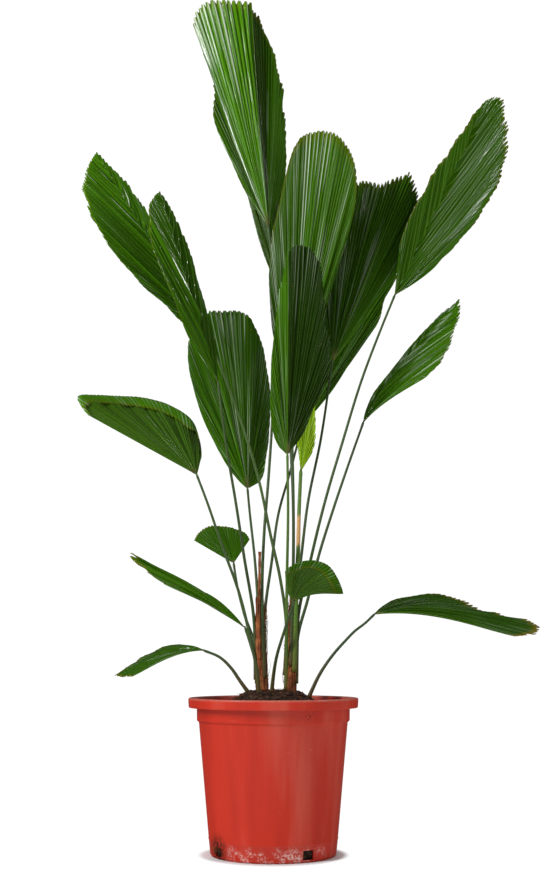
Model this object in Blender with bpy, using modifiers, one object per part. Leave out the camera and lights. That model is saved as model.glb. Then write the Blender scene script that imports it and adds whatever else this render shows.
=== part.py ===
"""Potted ruffled fan palm: two fibrous stems, their stalks and pleated fan blades, and the soil in a pot.

The plant stands on the flat underside of its pot.  X runs to the right, Y away from the viewer, Z up.
A place on the plant is given the way it is measured on a front view: how far right of the pot's axis
and how high it looks from the viewing place, and how far behind the axis it lies.
"""
import math

import bpy
import bmesh
import numpy as np
from mathutils import Vector

MM = 0.001
GAP = 0.3 * MM
SLOT_GAP = 0.6 * MM

# The viewing place of the front view: its distance from the pot's axis and its height
VIEW_DISTANCE = 2.12
VIEW_HEIGHT = 0.31

# The pot: a moulded nursery pot, 27 cm across its rim
POT_HEIGHT = 240 * MM
RIM_RADIUS = 135 * MM
RIM_DEPTH = 15 * MM
COLLAR_RADIUS = 121 * MM
COLLAR_DEPTH = 36 * MM
BODY_TOP_RADIUS = 118 * MM
BASE_RADIUS = 98.5 * MM
BASE_ROUND = 3.5 * MM
POT_WALL = 3 * MM
RIM_EASE = 2 * MM
RIM_LIP = 4 * MM
COLLAR_STEP = 1 * MM
POT_FLOOR = 3 * MM
POT_STEPS = 48
DRAIN_COUNT = 4
DRAIN_TURN = 32
DRAIN_WIDTH = 19 * MM
DRAIN_LOW = 4 * MM
DRAIN_HIGH = 18 * MM

# The soil: it fills the pot and is heaped round the stems
SOIL_EDGE_HEIGHT = 224 * MM
SOIL_HEAP_HEIGHT = 250 * MM
SOIL_HEAP_RADIUS = 62 * MM
HEAP_FOOT_RADIUS = 84 * MM
HEAP_FOOT_HEIGHT = 231 * MM
SOIL_CLEARANCE = 1.2 * MM
SOIL_STEPS = 36

# The stems: short tapered cores that the stalks sheathe
STEM_FOOT_RADIUS = 6.4 * MM
STEM_TOP_RADIUS = 5.2 * MM
STEM_STEPS = 16
STEMS = {
    "left": {"foot": (-18, 0), "top": (-23, 0), "height": 150 * MM},
    "right": {"foot": (27, 0), "top": (33, 0), "height": 165 * MM},
}

# The stalks: thin, round, thinner towards the blade
STALK_FOOT_RADIUS = 2.7
STALK_TIP_RADIUS = 1.9
STALK_SPACING = 34 * MM
STALK_SIDES = 1

# The blades: pleated fans with a toothed margin
BLADE_ROOT = 12 * MM
BLADE_ROWS = 4
ROOT_SAMPLES = 9
PLEAT_PITCH = 26 * MM
PLEAT_HEIGHT = 2.6 * MM
TOOTH_DEPTH = 7 * MM
BLADE_THICKNESS = 3 * MM
HOLLOW_POWER = 1.15
SIDE_SHARE = 0.3
BEND_POWER = 1.5
SHORT_ROOT_SHARE = 0.4
SHORT_TOOTH_SHARE = 0.15
HEADING_SHARE = 0.04
THICKNESS_SHARE = 0.0105

# Each leaf, in millimetres and degrees of the front view.
# foot: right, height, behind.  route: places its stalk passes, from the blade down.
# base: the stem it grows on, the turn round that stem and the height where it leaves it,
# or the place in the soil that it rises from.
# panels: the ribs that shape the blade, clockwise, each (swing from upright, reach, how far behind
# the axis its tip lies).  A blade folds sharply where one panel ends and the next begins.
# bend: how many degrees its ribs turn clockwise on their way out.
LEAVES = {
    "crown_top": {
        "foot": (-8, 1019, 70), "base": ("left", 302, 270, 385),
        "route": ((-3, 971, 66), (3, 842, 60), (-2, 683, 42), (-8, 590, 22), (-15, 500, 4)),
        "panels": (((-34, 48, 100), (-28.6, 130, 150), (-27, 190, 170), (-24.6, 229, 180), (-21, 258, 190),
                    (-18.9, 400, 75)),
                   ((-18.9, 400, 75), (-17.8, 412, 68), (-11, 421, 42), (-4.6, 408, 60)),
                   ((-4.6, 408, 60), (-3.2, 385, 105), (-1.6, 358, 130)),
                   ((-1.6, 358, 130), (1.7, 311, 118), (4.3, 262, 158), (8.8, 184, 190), (17.5, 90, 150))),
    },
    "crown_back": {
        "foot": (8, 911, 160), "base": ("right", 99, 270, 385),
        "route": ((20, 800, 140), (28, 650, 92), (32, 560, 60)),
        "panels": (((-22, 55, 170), (-18.2, 140, 190), (-15, 300, 240), (-8, 395, 265), (-3, 330, 300)),
                   ((-3, 330, 300), (1, 240, 305), (8, 170, 300), (20, 140, 280))),
    },
    "upper_left_outer": {
        "foot": (-117, 845, -20), "base": ("right", 178, 275, 340),
        "route": ((-90, 784, -15), (-48, 670, -8), (-25, 594, -9), (-3, 492, -9), (11, 429, -6)),
        "panels": (((-80, 28, -26), (-62, 62, -50), (-54.8, 126, -80), (-49.2, 204, -102), (-44.7, 269, -112),
                    (-41, 316, -92), (-36.6, 340, -60), (-31.1, 359, -20)),
                   ((-31.1, 359, -20), (-28.3, 296, 15), (-26, 232, 45), (-22, 120, 50))),
    },
    "upper_left_inner": {
        "foot": (-91, 750, -90), "base": ("left", 187, 268, 350),
        "route": ((-85, 701, -86), (-76, 638, -72), (-62, 557, -48), (-48, 468, -22)),
        "panels": (((-33, 90, -115), (-28, 150, -130), (-25.4, 262, -148), (-22.2, 318, -150),
                    (-19.4, 341, -130), (-17.1, 348, -112)),
                   ((-17.1, 348, -112), (-14.6, 292, -85), (-12.3, 222, -65), (-9.6, 128, -60), (-4, 70, -65))),
    },
    "centre": {
        "foot": (29, 715, -20), "base": ("right", 262, 290, 400),
        "route": ((32, 610, -20), (33, 524, -18)),
        "panels": (((-14, 120, 8), (-10, 205, 14), (-6.8, 276, 12), (-2.4, 362, 0), (1.4, 453, -16),
                    (2.6, 469, -22), (4.2, 474, -28)),
                   ((4.2, 474, -28), (7.7, 481, -34), (11.9, 463, -38), (14.6, 434, -38), (17.1, 382, -34),
                    (18.5, 310, -28), (18.9, 240, -25), (19.4, 187, -23))),
    },
    "front": {
        "foot": (23, 630, -120), "base": ("right", 221, 251, 290),
        "route": ((24, 540, -92), (22, 430, -50), (21, 345, -24)),
        "panels": (((-46, 17, -122), (-31, 46, -124), (-17, 97, -128), (-8.5, 172, -136), (-2.9, 270, -152),
                    (0.2, 348, -192)),
                   ((0.2, 348, -192), (3, 359, -178), (7.5, 349, -152), (10.8, 312, -126), (15.5, 243, -98),
                    (22, 193, -80), (27, 150, -77), (29, 88, -92), (38, 33, -110))),
    },
    "right_inner": {
        "foot": (98, 787, 40), "base": ("right", 59, 275, 395),
        "route": ((78, 656, 42), (56, 549, 32), (46, 470, 18)),
        "panels": (((-8, 107, 70), (0, 237, 90), (8, 316, 70), (15.5, 323, 45), (22, 357, 20)),
                   ((22, 357, 20), (27.8, 323, 50), (33.7, 285, 90), (34.5, 207, 130),
                    (35.6, 156, 140))),
    },
    "upper_right": {
        "foot": (203, 900, 0), "base": ("right", 19, 272, 360),
        "route": ((182, 849, 0), (145, 752, -2), (115, 656, 0), (83, 549, 2), (61, 461, 4)),
        "panels": (((6.5, 88, -35), (12.6, 150, -60), (21, 276, -50), (25, 385, -5)),
                   ((25, 385, -5), (28.2, 398, 25), (32.3, 368, 65), (35.9, 339, 95),
                    (41.3, 277, 120), (49.5, 142, 105), (52.6, 74, 65))),
    },
    "back_right": {
        "foot": (47, 676, 130), "base": ("left", 44, 272, 345),
        "route": ((27, 600, 116), (9, 536, 88), (-2, 460, 46)),
        "panels": (((-12, 229, 200), (2.7, 274, 225), (16.2, 294, 215)),
                   ((16.2, 294, 215), (24, 300, 195), (30.9, 309, 182), (33, 252, 172), (35.2, 230, 165),
                    (36.2, 165, 153), (37.4, 80, 141))),
    },
    "mid_right": {
        "foot": (148, 684, -40), "base": ("right", 340, 262, 330), "bend": 12,
        "route": ((119, 603, -36), (98, 542, -30), (72, 460, -20), (56, 397, -12)),
        "panels": (((17, 42, -22), (28, 92, 0), (33, 171, 12), (37.8, 267, 0)),
                   ((37.8, 267, 0), (40.3, 257, -14), (44.5, 222, -42), (49, 190, -66), (51.8, 166, -80),
                    (53.8, 130, -82))),
    },
    "mid_left": {
        "foot": (-125, 597, -40), "base": ("soil", -23, -21),
        "route": ((-108, 553, -42), (-84, 484, -40), (-55, 405, -34), (-34, 320, -28),
                  (-25, 275, -23)),
        "panels": (((-61, 209, -60), (-57, 238, -50), (-51.9, 217, -10)),
                   ((-51.9, 217, -10), (-46, 191, 25), (-38.2, 167, 60), (-18.3, 119, 100), (-5, 91, 98),
                    (2.4, 65, 78), (14, 32, 15))),
    },
    "centre_left": {
        "foot": (-42, 574, 50), "base": ("left", 102, 268, 360),
        "route": ((-39, 542, 46), (-30, 460, 28)),
        "panels": (((-47, 18, 50), (-37.5, 75, 42), (-32.5, 136, 28), (-27.2, 204, 20), (-24.5, 243, 26),
                    (-20.9, 272, 40), (-12.2, 307, 80)),
                   ((-12.2, 307, 80), (0, 292, 70), (5.4, 243, 85), (10.7, 185, 95), (16, 136, 95),
                    (23, 88, 85), (35, 51, 70), (60, 22, 56))),
    },
    "small_back_left": {
        "foot": (-64, 453, 100), "base": ("left", 145, 262, 310),
        "route": ((-59, 421, 80), (-47, 373, 44)),
        "panels": (((-60, 75, 130), (-46.9, 76, 145), (-30.3, 71, 158), (-14, 62, 160), (4, 56, 152),
                    (20, 53, 143), (33.6, 47, 130)),),
    },
    "low_left_strap": {
        "foot": (-45, 349, 0), "base": ("left", 225, 256, 285), "bend": -10,
        "route": ((-36, 322, -5),),
        "panels": (((-61.8, 150, -25), (-61, 174, -28), (-59.2, 205, -24), (-57.5, 224, 0)),
                   ((-57.5, 224, 0), (-55.5, 170, 20), (-51.5, 110, 28), (-46, 58, 24))),
    },
    "lowest_left": {
        "foot": (-111, 314, -20), "base": ("soil", -38, -18), "bend": -20,
        "route": ((-85, 303, -22), (-67, 286, -22), (-53, 266, -20)),
        "panels": (((-109.7, 122, -60), (-107.8, 135, -45), (-105.5, 148, -20)),
                   ((-105.5, 148, -20), (-101, 119, 0), (-97, 103, 15), (-91, 80, 28), (-84, 62, 32),
                    (-76, 40, 20))),
    },
    "small_front": {
        "foot": (33, 390, -110), "base": ("soil", -3, -24), "bend": 28,
        "route": ((26, 370, -100), (16, 340, -82), (5, 303, -56), (0, 273, -34)),
        "panels": (((-16, 53, -140), (-8, 58, -150), (8.5, 67, -155), (28.4, 78, -155)),
                   ((28.4, 78, -155), (44, 83, -155), (60, 82, -148), (80, 82, -115))),
    },
    "low_right": {
        "foot": (162, 371, -10), "base": ("soil", 55, -6), "bend": 18,
        "route": ((147, 357, -10), (131, 345, -10), (115, 329, -9), (96, 308, -8), (76, 280, -7)),
        "panels": (((51, 34, 12), (63.5, 65, 42), (70, 98, 68), (78, 133, 75), (86, 165, 65), (90.8, 215, 40),
                    (93.3, 262, 0), (94.8, 268, -20)),
                   ((94.8, 268, -20), (97.1, 258, -50), (98.6, 224, -80))),
    },
    "young": {
        "foot": (45, 603, 20), "base": ("right", 301, 280, 400),
        "route": ((42, 540, 6), (40, 470, -6)),
        "panels": (((-6, 150, 50), (-1.8, 186, 30)),
                   ((-1.8, 186, 30), (6, 150, 12), (13.3, 110, 0), (19.3, 77, 0), (25.8, 58, 5), (31.5, 36, 12))),
    },
}

# The stub: an old stalk, cut off, standing on the left stem
STUB = {"base": ("left", 263, 300, 350), "top": (-22, 472, -16), "radius": 2.1}

COLOURS = {
    "pot": ((0.49, 0.03, 0.02, 1), 0.42),
    "soil": ((0.03, 0.02, 0.012, 1), 0.95),
    "stem": ((0.16, 0.08, 0.035, 1), 0.85),
    "stalk": ((0.06, 0.11, 0.045, 1), 0.5),
    "leaf": ((0.03, 0.12, 0.008, 1), 0.3),
    "young_leaf": ((0.14, 0.28, 0.01, 1), 0.35),
}


def clear_scene():
    """Removes every object, so that the model starts from nothing."""
    for old in list(bpy.data.objects):
        bpy.data.objects.remove(old, do_unlink=True)


def new_collection(name):
    made = bpy.data.collections.new(name)
    bpy.context.scene.collection.children.link(made)
    return made


def new_material(name, colour, roughness):
    material = bpy.data.materials.new(name)
    material.use_nodes = True
    shader = material.node_tree.nodes["Principled BSDF"]
    shader.inputs["Base Color"].default_value = colour
    shader.inputs["Roughness"].default_value = roughness
    shader.inputs["Metallic"].default_value = 0.0
    return material


def add_object(name, data, collection, finish):
    made = bpy.data.objects.new(name, data)
    collection.objects.link(made)
    if finish:
        colour, roughness = COLOURS[finish]
        data.materials.append(new_material(f"{name}_{finish}", colour, roughness))
    return made


def in_world(right, height, behind):
    """Places on the front view, in metres, as world places on the viewer's line of sight."""
    share = (VIEW_DISTANCE + behind) / VIEW_DISTANCE
    return np.stack([right * share, behind + 0 * share, VIEW_HEIGHT + (height - VIEW_HEIGHT) * share], -1)


def front_view_place(place):
    """One (right, height, behind) place in millimetres as a world place in metres."""
    right, height, behind = (np.float64(value) * MM for value in place)
    return in_world(right, height, behind)


def smooth_through(keys, at, values):
    """Values at the positions `at` of a smooth curve through `values` given at `keys`.

    Cubic Hermite pieces; each key's slope is the slope between its neighbours, one-sided at the ends."""
    keys = np.asarray(keys, float)
    values = np.asarray(values, float)
    slopes = np.gradient(values, keys, axis=0) if len(keys) > 2 else np.repeat(
        (values[1:] - values[:-1]) / (keys[1] - keys[0]), 2, axis=0)
    span = np.clip(np.searchsorted(keys, at, side="right") - 1, 0, len(keys) - 2)
    width = (keys[span + 1] - keys[span])[:, None]
    t = (at - keys[span])[:, None] / width
    return ((2 * t**3 - 3 * t**2 + 1) * values[span] + (t**3 - 2 * t**2 + t) * width * slopes[span]
            + (3 * t**2 - 2 * t**3) * values[span + 1] + (t**3 - t**2) * width * slopes[span + 1])


def rib_places(leaf, ribs, along):
    """Places at the shares `along` of each rib, from the blade's foot to the rib's tip.

    A rib is straight in the front view, or turns there by the leaf's bend, most of it near the foot.
    The share of the way behind grows a little slower than the reach, so a blade is hollow like a hand."""
    right, height, behind = (value * MM for value in leaf["foot"])
    swing = np.radians(ribs[:, 0][:, None] - leaf.get("bend", 0) * (1 - along) ** BEND_POWER)
    reach = ribs[:, 1][:, None] * MM * along
    depth = behind + (ribs[:, 2][:, None] * MM - behind) * along**HOLLOW_POWER
    return in_world(right + reach * np.sin(swing), height + reach * np.cos(swing), depth)


def rib_tips(leaf, ribs):
    return rib_places(leaf, ribs, np.array([[1.0]]))[:, 0]


def blade_columns(leaf):
    """Every rib of a blade: each panel's ribs, a pleat pitch apart across the ribs.

    Where the margin runs along the ribs, as on a long side, only a share of its length counts."""
    foot = front_view_place(leaf["foot"])
    columns = []
    for panel in leaf["panels"]:
        keys = np.array(panel, float)
        tips = rib_tips(leaf, keys)
        steps = np.linalg.norm(np.diff(tips, axis=0), axis=1)
        outward = np.abs(np.diff(np.linalg.norm(tips - foot, axis=1)))
        across = np.sqrt(np.maximum(steps**2 - outward**2, 0)) + SIDE_SHARE * outward
        margin = np.concatenate([[0], np.cumsum(steps)])
        spread = np.concatenate([[0], np.cumsum(across)])
        count = 2 * max(1, round(spread[-1] / (2 * PLEAT_PITCH)))
        at = np.interp(np.linspace(0, spread[-1], count + 1), spread, margin)
        ribs = smooth_through(margin, at, keys)
        columns.append(ribs if not columns else ribs[1:])
    return np.concatenate(columns)


def blade_grid(leaf):
    """The blade's middle surface, ribs by rows: ribs from the root round the foot to the toothed margin.

    Odd ribs stop a tooth's depth short, and the pleats stand off the surface by turns to each side,
    more towards the margin.  On the shortest ribs root and tooth are shares of their length."""
    ribs = blade_columns(leaf)
    rows = np.linspace(0, 1, BLADE_ROWS + 1)[None, :]
    length = np.linalg.norm(rib_tips(leaf, ribs) - front_view_place(leaf["foot"]), axis=1)[:, None]
    odd = (np.arange(len(ribs)) % 2)[:, None]
    start = np.minimum(BLADE_ROOT / length, SHORT_ROOT_SHARE)
    end = 1 - odd * np.minimum(TOOTH_DEPTH / length, SHORT_TOOTH_SHARE)
    grid = rib_places(leaf, ribs, start + (end - start) * rows)
    across = np.gradient(grid, axis=0)
    outward = np.gradient(grid, axis=1)
    normal = np.cross(across, outward)
    normal /= np.maximum(np.linalg.norm(normal, axis=2, keepdims=True), 1e-9)
    rise = PLEAT_HEIGHT * np.sin(rows * math.pi / 2) ** 1.5 * np.where(odd == 1, -0.5, 0.5)
    return grid + normal * rise[:, :, None], length.max()


def blade_heading(leaf):
    """The direction in which the middle of the blade leaves its foot."""
    ribs = blade_columns(leaf)
    start = rib_places(leaf, ribs, np.array([[HEADING_SHARE]]))[:, 0] - front_view_place(leaf["foot"])
    middle = start[len(start) // 2]
    return middle / np.linalg.norm(middle)


def stalk_reach(leaf, heel, heading):
    """How far past the heel the stalk runs: to just short of the blade's root edge in front of it.

    The root edge is as thick as the blade, so it comes nearer where the blade leans off the heading."""
    grid, length = blade_grid(leaf)
    share = np.linspace(0, 1, ROOT_SAMPLES)[None, :, None]
    root, ridge = grid[:, 0] - heel, grid[:, 1] - grid[:, 0]
    edge = (root[:-1, None] * (1 - share) + root[1:, None] * share).reshape(-1, 3)
    normal = np.cross(root[1:] - root[:-1], ridge[:-1])
    normal /= np.linalg.norm(normal, axis=1, keepdims=True)
    lean = np.repeat(np.abs(normal @ heading), ROOT_SAMPLES) * blade_thickness(length) / 2
    ahead = edge @ heading
    aside = np.linalg.norm(edge - ahead[:, None] * heading, axis=1)
    facing = aside <= max(STALK_TIP_RADIUS * MM + GAP, aside.min() + GAP)
    return (ahead - lean)[facing].min() - GAP


def blade_thickness(length):
    return max(BLADE_THICKNESS, THICKNESS_SHARE * length)


def make_blade(name, leaf, collection):
    grid, length = blade_grid(leaf)
    columns, rows = grid.shape[:2]
    number = np.arange(columns * rows).reshape(columns, rows)
    quads = np.stack([number[:-1, :-1], number[1:, :-1], number[1:, 1:], number[:-1, 1:]], -1)
    mesh = bpy.data.meshes.new(name)
    mesh.from_pydata(grid.reshape(-1, 3).tolist(), [], quads.reshape(-1, 4).tolist())
    blade = add_object(name, mesh, collection, "young_leaf" if "young" in name else "leaf")
    shell = blade.modifiers.new("thickness", "SOLIDIFY")
    shell.thickness = blade_thickness(length)
    shell.offset = 0.0
    return blade


def stem_axis(stem, height):
    """The stem's axis place and radius at a height in metres."""
    spec = STEMS[stem]
    share = (height - SOIL_HEAP_HEIGHT) / spec["height"]
    middle = [(low + (high - low) * share) * MM for low, high in zip(spec["foot"], spec["top"])]
    return middle, STEM_FOOT_RADIUS + (STEM_TOP_RADIUS - STEM_FOOT_RADIUS) * min(max(share, 0), 1)


def slot_place(stem, turn, height, radius):
    """A stalk's axis where it lies along the stem, turned round it from +X towards +Y."""
    (x, y), stem_radius = stem_axis(stem, height)
    out = stem_radius + radius + SLOT_GAP
    angle = math.radians(turn)
    return np.array([x + out * math.cos(angle), y + out * math.sin(angle), height])


def stalk_start(base, radius):
    """The lower places of a stalk: up its slot on a stem, or straight up out of the soil."""
    if base[0] == "soil":
        x, y = base[1] * MM, base[2] * MM
        low = SOIL_HEAP_HEIGHT + GAP
        return [np.array([x, y, low]), np.array([x, y, low + 2 * radius])]
    stem, turn, low, high = base
    low = max(low * MM, SOIL_HEAP_HEIGHT + GAP)
    steps = np.linspace(low, high * MM, 3)
    return [slot_place(stem, turn, height, radius) for height in steps]


def smooth_path(places):
    """A smooth curve through the places, with a point every stalk spacing or so."""
    places = np.array(places)
    way = np.concatenate([[0], np.cumsum(np.linalg.norm(np.diff(places, axis=0), axis=1))])
    count = max(3, round(way[-1] / STALK_SPACING))
    return smooth_through(way, np.linspace(0, way[-1], count + 1), places)


def make_tube(name, path, radii, collection, finish):
    """A round limb: a bevelled curve whose radius goes evenly from its foot to its tip."""
    curve = bpy.data.curves.new(name, "CURVE")
    curve.dimensions = "3D"
    curve.bevel_depth = radii[0]
    curve.bevel_resolution = STALK_SIDES
    curve.use_fill_caps = True
    spline = curve.splines.new("POLY")
    spline.points.add(len(path) - 1)
    for point, place, share in zip(spline.points, path, np.linspace(0, 1, len(path))):
        point.co = (*place, 1.0)
        point.radius = 1 + (radii[1] / radii[0] - 1) * share
    return add_object(name, curve, collection, finish)


def make_stalk(name, leaf, collection):
    radius = STALK_FOOT_RADIUS * MM
    places = stalk_start(leaf["base"], radius)
    places += [front_view_place(place) for place in reversed(leaf["route"])]
    heel = front_view_place(leaf["foot"])
    heading = blade_heading(leaf)
    end = heel + heading * stalk_reach(leaf, heel, heading)
    path = np.concatenate([places[:1], smooth_path(places[1:] + [heel]), [end]])
    return make_tube(name, path, (radius, STALK_TIP_RADIUS * MM), collection, "stalk")


def make_stub(collection):
    radius = STUB["radius"] * MM
    path = stalk_start(STUB["base"], radius) + [front_view_place(STUB["top"])]
    return make_tube("cut_stub", smooth_path(path), (radius, radius), collection, "stem")


def make_stem(side, collection):
    spec = STEMS[side]
    low = SOIL_HEAP_HEIGHT + GAP
    mesh = bpy.data.meshes.new(f"stem_{side}")
    cage = bmesh.new()
    bmesh.ops.create_cone(cage, cap_ends=True, segments=STEM_STEPS, radius1=STEM_FOOT_RADIUS,
                          radius2=STEM_TOP_RADIUS, depth=spec["height"])
    (x, y), _ = stem_axis(side, low)
    (top_x, top_y), _ = stem_axis(side, low + spec["height"])
    for point in cage.verts:
        share = point.co.z / spec["height"] + 0.5
        point.co += Vector((x + (top_x - x) * share, y + (top_y - y) * share, low + spec["height"] / 2))
    cage.to_mesh(mesh)
    cage.free()
    return add_object(f"stem_{side}", mesh, collection, "stem")


def turn_profile(name, profile, steps, collection, finish):
    """A turned shape: the profile's (radius, height) corners spun once round the Z axis."""
    mesh = bpy.data.meshes.new(name)
    points = [(radius, 0, height) for radius, height in profile]
    mesh.from_pydata(points, [(i, i + 1) for i in range(len(points) - 1)], [])
    turned = add_object(name, mesh, collection, finish)
    screw = turned.modifiers.new("turn", "SCREW")
    screw.steps = screw.render_steps = steps
    screw.use_merge_vertices = True
    screw.merge_threshold = 0.1 * MM
    return turned


def pot_inside(height):
    """The inner radius of the pot's wall at a height."""
    top = POT_HEIGHT - COLLAR_DEPTH
    share = min(height / top, 1)
    return BASE_RADIUS + (BODY_TOP_RADIUS - BASE_RADIUS) * share - POT_WALL


def make_pot(collection, cutters):
    top = POT_HEIGHT
    rim_low = POT_HEIGHT - RIM_DEPTH
    collar_low = POT_HEIGHT - COLLAR_DEPTH
    inner_top = BODY_TOP_RADIUS - POT_WALL
    profile = [(0, POT_FLOOR), (pot_inside(POT_FLOOR), POT_FLOOR), (inner_top, collar_low),
               (COLLAR_RADIUS - POT_WALL, collar_low + RIM_EASE),
               (COLLAR_RADIUS - POT_WALL + COLLAR_STEP, top - RIM_EASE), (COLLAR_RADIUS, top),
               (RIM_RADIUS - RIM_EASE, top), (RIM_RADIUS, top - RIM_EASE),
               (RIM_RADIUS - COLLAR_STEP, rim_low), (RIM_RADIUS - RIM_LIP, rim_low),
               (COLLAR_RADIUS + COLLAR_STEP, rim_low + POT_WALL), (COLLAR_RADIUS, rim_low),
               (COLLAR_RADIUS - COLLAR_STEP, collar_low + COLLAR_STEP),
               (BODY_TOP_RADIUS, collar_low - COLLAR_STEP), (BASE_RADIUS, BASE_ROUND * 2),
               (BASE_RADIUS - BASE_ROUND * 0.4, BASE_ROUND * 0.6), (BASE_RADIUS - BASE_ROUND, 0), (0, 0)]
    pot = turn_profile("pot", profile, POT_STEPS, collection, "pot")
    for index in range(DRAIN_COUNT):
        angle = math.radians(DRAIN_TURN - 90 + index * 360 / DRAIN_COUNT)
        mesh = bpy.data.meshes.new(f"drain_cutter_{index}")
        cage = bmesh.new()
        bmesh.ops.create_cube(cage, size=1)
        cage.to_mesh(mesh)
        cage.free()
        cutter = add_object(f"drain_cutter_{index}", mesh, cutters, None)
        cutter.scale = (BASE_ROUND * 6, DRAIN_WIDTH, DRAIN_HIGH - DRAIN_LOW)
        cutter.rotation_euler = (0, 0, angle)
        cutter.location = (BASE_RADIUS * math.cos(angle), BASE_RADIUS * math.sin(angle),
                           (DRAIN_HIGH + DRAIN_LOW) / 2)
        cutter.hide_render = True
        cutter.display_type = "WIRE"
        cut = pot.modifiers.new(f"drain_{index}", "BOOLEAN")
        cut.operation = "DIFFERENCE"
        cut.object = cutter
    return pot


def make_soil(collection):
    low = POT_FLOOR + GAP
    edge = BODY_TOP_RADIUS - POT_WALL - SOIL_CLEARANCE
    collar_low = POT_HEIGHT - COLLAR_DEPTH
    profile = [(0, SOIL_HEAP_HEIGHT), (SOIL_HEAP_RADIUS, SOIL_HEAP_HEIGHT),
               (HEAP_FOOT_RADIUS, HEAP_FOOT_HEIGHT), (edge, SOIL_EDGE_HEIGHT), (edge, collar_low),
               (pot_inside(low) - SOIL_CLEARANCE, low), (0, low)]
    return turn_profile("soil", profile, SOIL_STEPS, collection, "soil")


def build():
    clear_scene()
    plant = new_collection("potted_ruffled_fan_palm")
    cutters = new_collection("cutters")
    make_pot(plant, cutters)
    make_soil(plant)
    for side in STEMS:
        make_stem(side, plant)
    make_stub(plant)
    for name, leaf in LEAVES.items():
        make_stalk(f"stalk_{name}", leaf, plant)
        make_blade(f"blade_{name}", leaf, plant)


build()
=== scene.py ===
"""Looks of the potted ruffled fan palm, made as pieces that stand for the frame's solids."""
import math
from functools import partial

import bpy
import numpy as np
from bpy.props import FloatProperty, FloatVectorProperty, IntProperty, PointerProperty
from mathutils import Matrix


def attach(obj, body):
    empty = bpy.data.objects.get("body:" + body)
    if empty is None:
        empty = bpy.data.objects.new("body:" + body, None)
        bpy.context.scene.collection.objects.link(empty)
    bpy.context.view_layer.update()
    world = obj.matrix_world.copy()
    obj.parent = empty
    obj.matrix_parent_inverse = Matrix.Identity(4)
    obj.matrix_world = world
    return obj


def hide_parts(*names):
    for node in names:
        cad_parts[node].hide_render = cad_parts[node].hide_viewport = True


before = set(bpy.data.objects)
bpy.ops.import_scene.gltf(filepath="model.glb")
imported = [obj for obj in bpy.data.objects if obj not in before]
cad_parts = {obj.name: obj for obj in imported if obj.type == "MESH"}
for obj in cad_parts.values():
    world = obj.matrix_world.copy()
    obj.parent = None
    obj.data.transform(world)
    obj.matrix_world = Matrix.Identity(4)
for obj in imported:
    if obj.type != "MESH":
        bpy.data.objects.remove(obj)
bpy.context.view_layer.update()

bl_info = {
    "name": "Ruffled Fan Palm",
    "version": (1, 0, 0),
    "blender": (4, 5, 0),
    "location": "View3D > Sidebar > Fan Palm",
    "description": "Builds a potted ruffled fan palm: blades, stalks, stems, soil and nursery pot",
    "category": "Add Mesh",
}

MM = 0.001
FULL_TURN = 2 * math.pi
BLACK, WHITE = (0, 0, 0), (1, 1, 1)
# How bright the studio's white is in the picture, a little over paper white
STUDIO_WHITE = 1.05
TINY = 1e-9

# The viewing place of the front view that the leaves are measured on
VIEW_DISTANCE = 2.12
VIEW_HEIGHT = 0.31
VIEW_TILT = 9.42
VIEW_LENS = 54.0
VIEW_ASIDE = -1.3 * MM

# Pot and soil, as in the solids
POT_HEIGHT = 240 * MM
RIM_RADIUS = 135 * MM
RIM_DEPTH = 15 * MM
COLLAR_RADIUS = 121 * MM
COLLAR_LOW = POT_HEIGHT - 36 * MM
BODY_TOP_RADIUS = 118 * MM
BASE_RADIUS = 98.5 * MM
POT_WALL = 3 * MM
DRAIN_COUNT = 4
DRAIN_TURN = 32
DRAIN_WIDTH = 19 * MM
DRAIN_LOW = 4 * MM
DRAIN_HIGH = 18 * MM
SOIL_EDGE_HEIGHT = 224 * MM
SOIL_HEAP_HEIGHT = 250 * MM
SOIL_HEAP_RADIUS = 62 * MM
# The heap's flat top in the looks, narrower than the solid's
HEAP_TOP_RADIUS = 43 * MM
LUMP_HEIGHT = 1.3 * MM
LUMP_FLATNESS = 0.75
# The drain window that soil has washed out of, on the pot's left front, and the fibres caught in it
DIRTY_DRAIN = (-83.5 * MM, -52.2 * MM, 13 * MM)
DRAIN_FIBRES = 30
LITTER_FIBRES = 220
# Crumbs that stick to the collar's right front, this far round and up it
STUCK_CRUMBS = 26
STUCK_TURN = -64
STUCK_HEIGHT = COLLAR_LOW + 11 * MM

# Stems, as in the solids: foot and top are (right, behind) in millimetres
STEMS = {
    "left": {"foot": (-18, 0), "top": (-23, 0), "height": 150 * MM},
    "right": {"foot": (27, 0), "top": (33, 0), "height": 165 * MM},
}
STEM_FOOT_RADIUS = 6.4 * MM
STEM_TOP_RADIUS = 5.2 * MM
# How far the fibre sheath stands out at a stem's foot, and each of its leaf scars at its upper edge
SHEATH_EXTRA = 3.4 * MM
SHEATH_SCALE = 0.9 * MM
SHEATH_SCARS = 5
# A slanting direction that no hair runs along, to start a hair's rings from
HAIR_SIDE = np.array([0.31, 0.87, 0.38])
STUB = {"base": ("left", 263, 300, 350), "top": (-22, 472, -16), "radius": 2.1 * MM}

# Stalks: their slots on a stem, the rings they are made of, and how far one runs into soil or blade
SLOT_GAP = 0.6 * MM
STALK_FOOT_RADIUS = 2.7 * MM
STALK_TIP_RADIUS = 1.9 * MM
STALK_ROUND = 14 * MM
STALK_STEP = 7 * MM
STALK_RING = 12
STALK_SUNK = 4 * MM
# Stalks that are brighter than their leaf's tone, partly painted light and shade, would make them
BRIGHT_STALKS = {"front": 0.8, "young": 1.0}
# The youngest stalk is this much thicker, and is wrapped in dry sheath round this height, this far
YOUNG_STALK = 1.5
YOUNG_WRAP = (503 * MM, 24 * MM)

# Blades: steps across one tooth, and how strongly the rows crowd towards the margin
STEPS_PER_TOOTH = 8
ROW_POWER = 0.85
BLADE_START = 3 * MM
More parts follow.
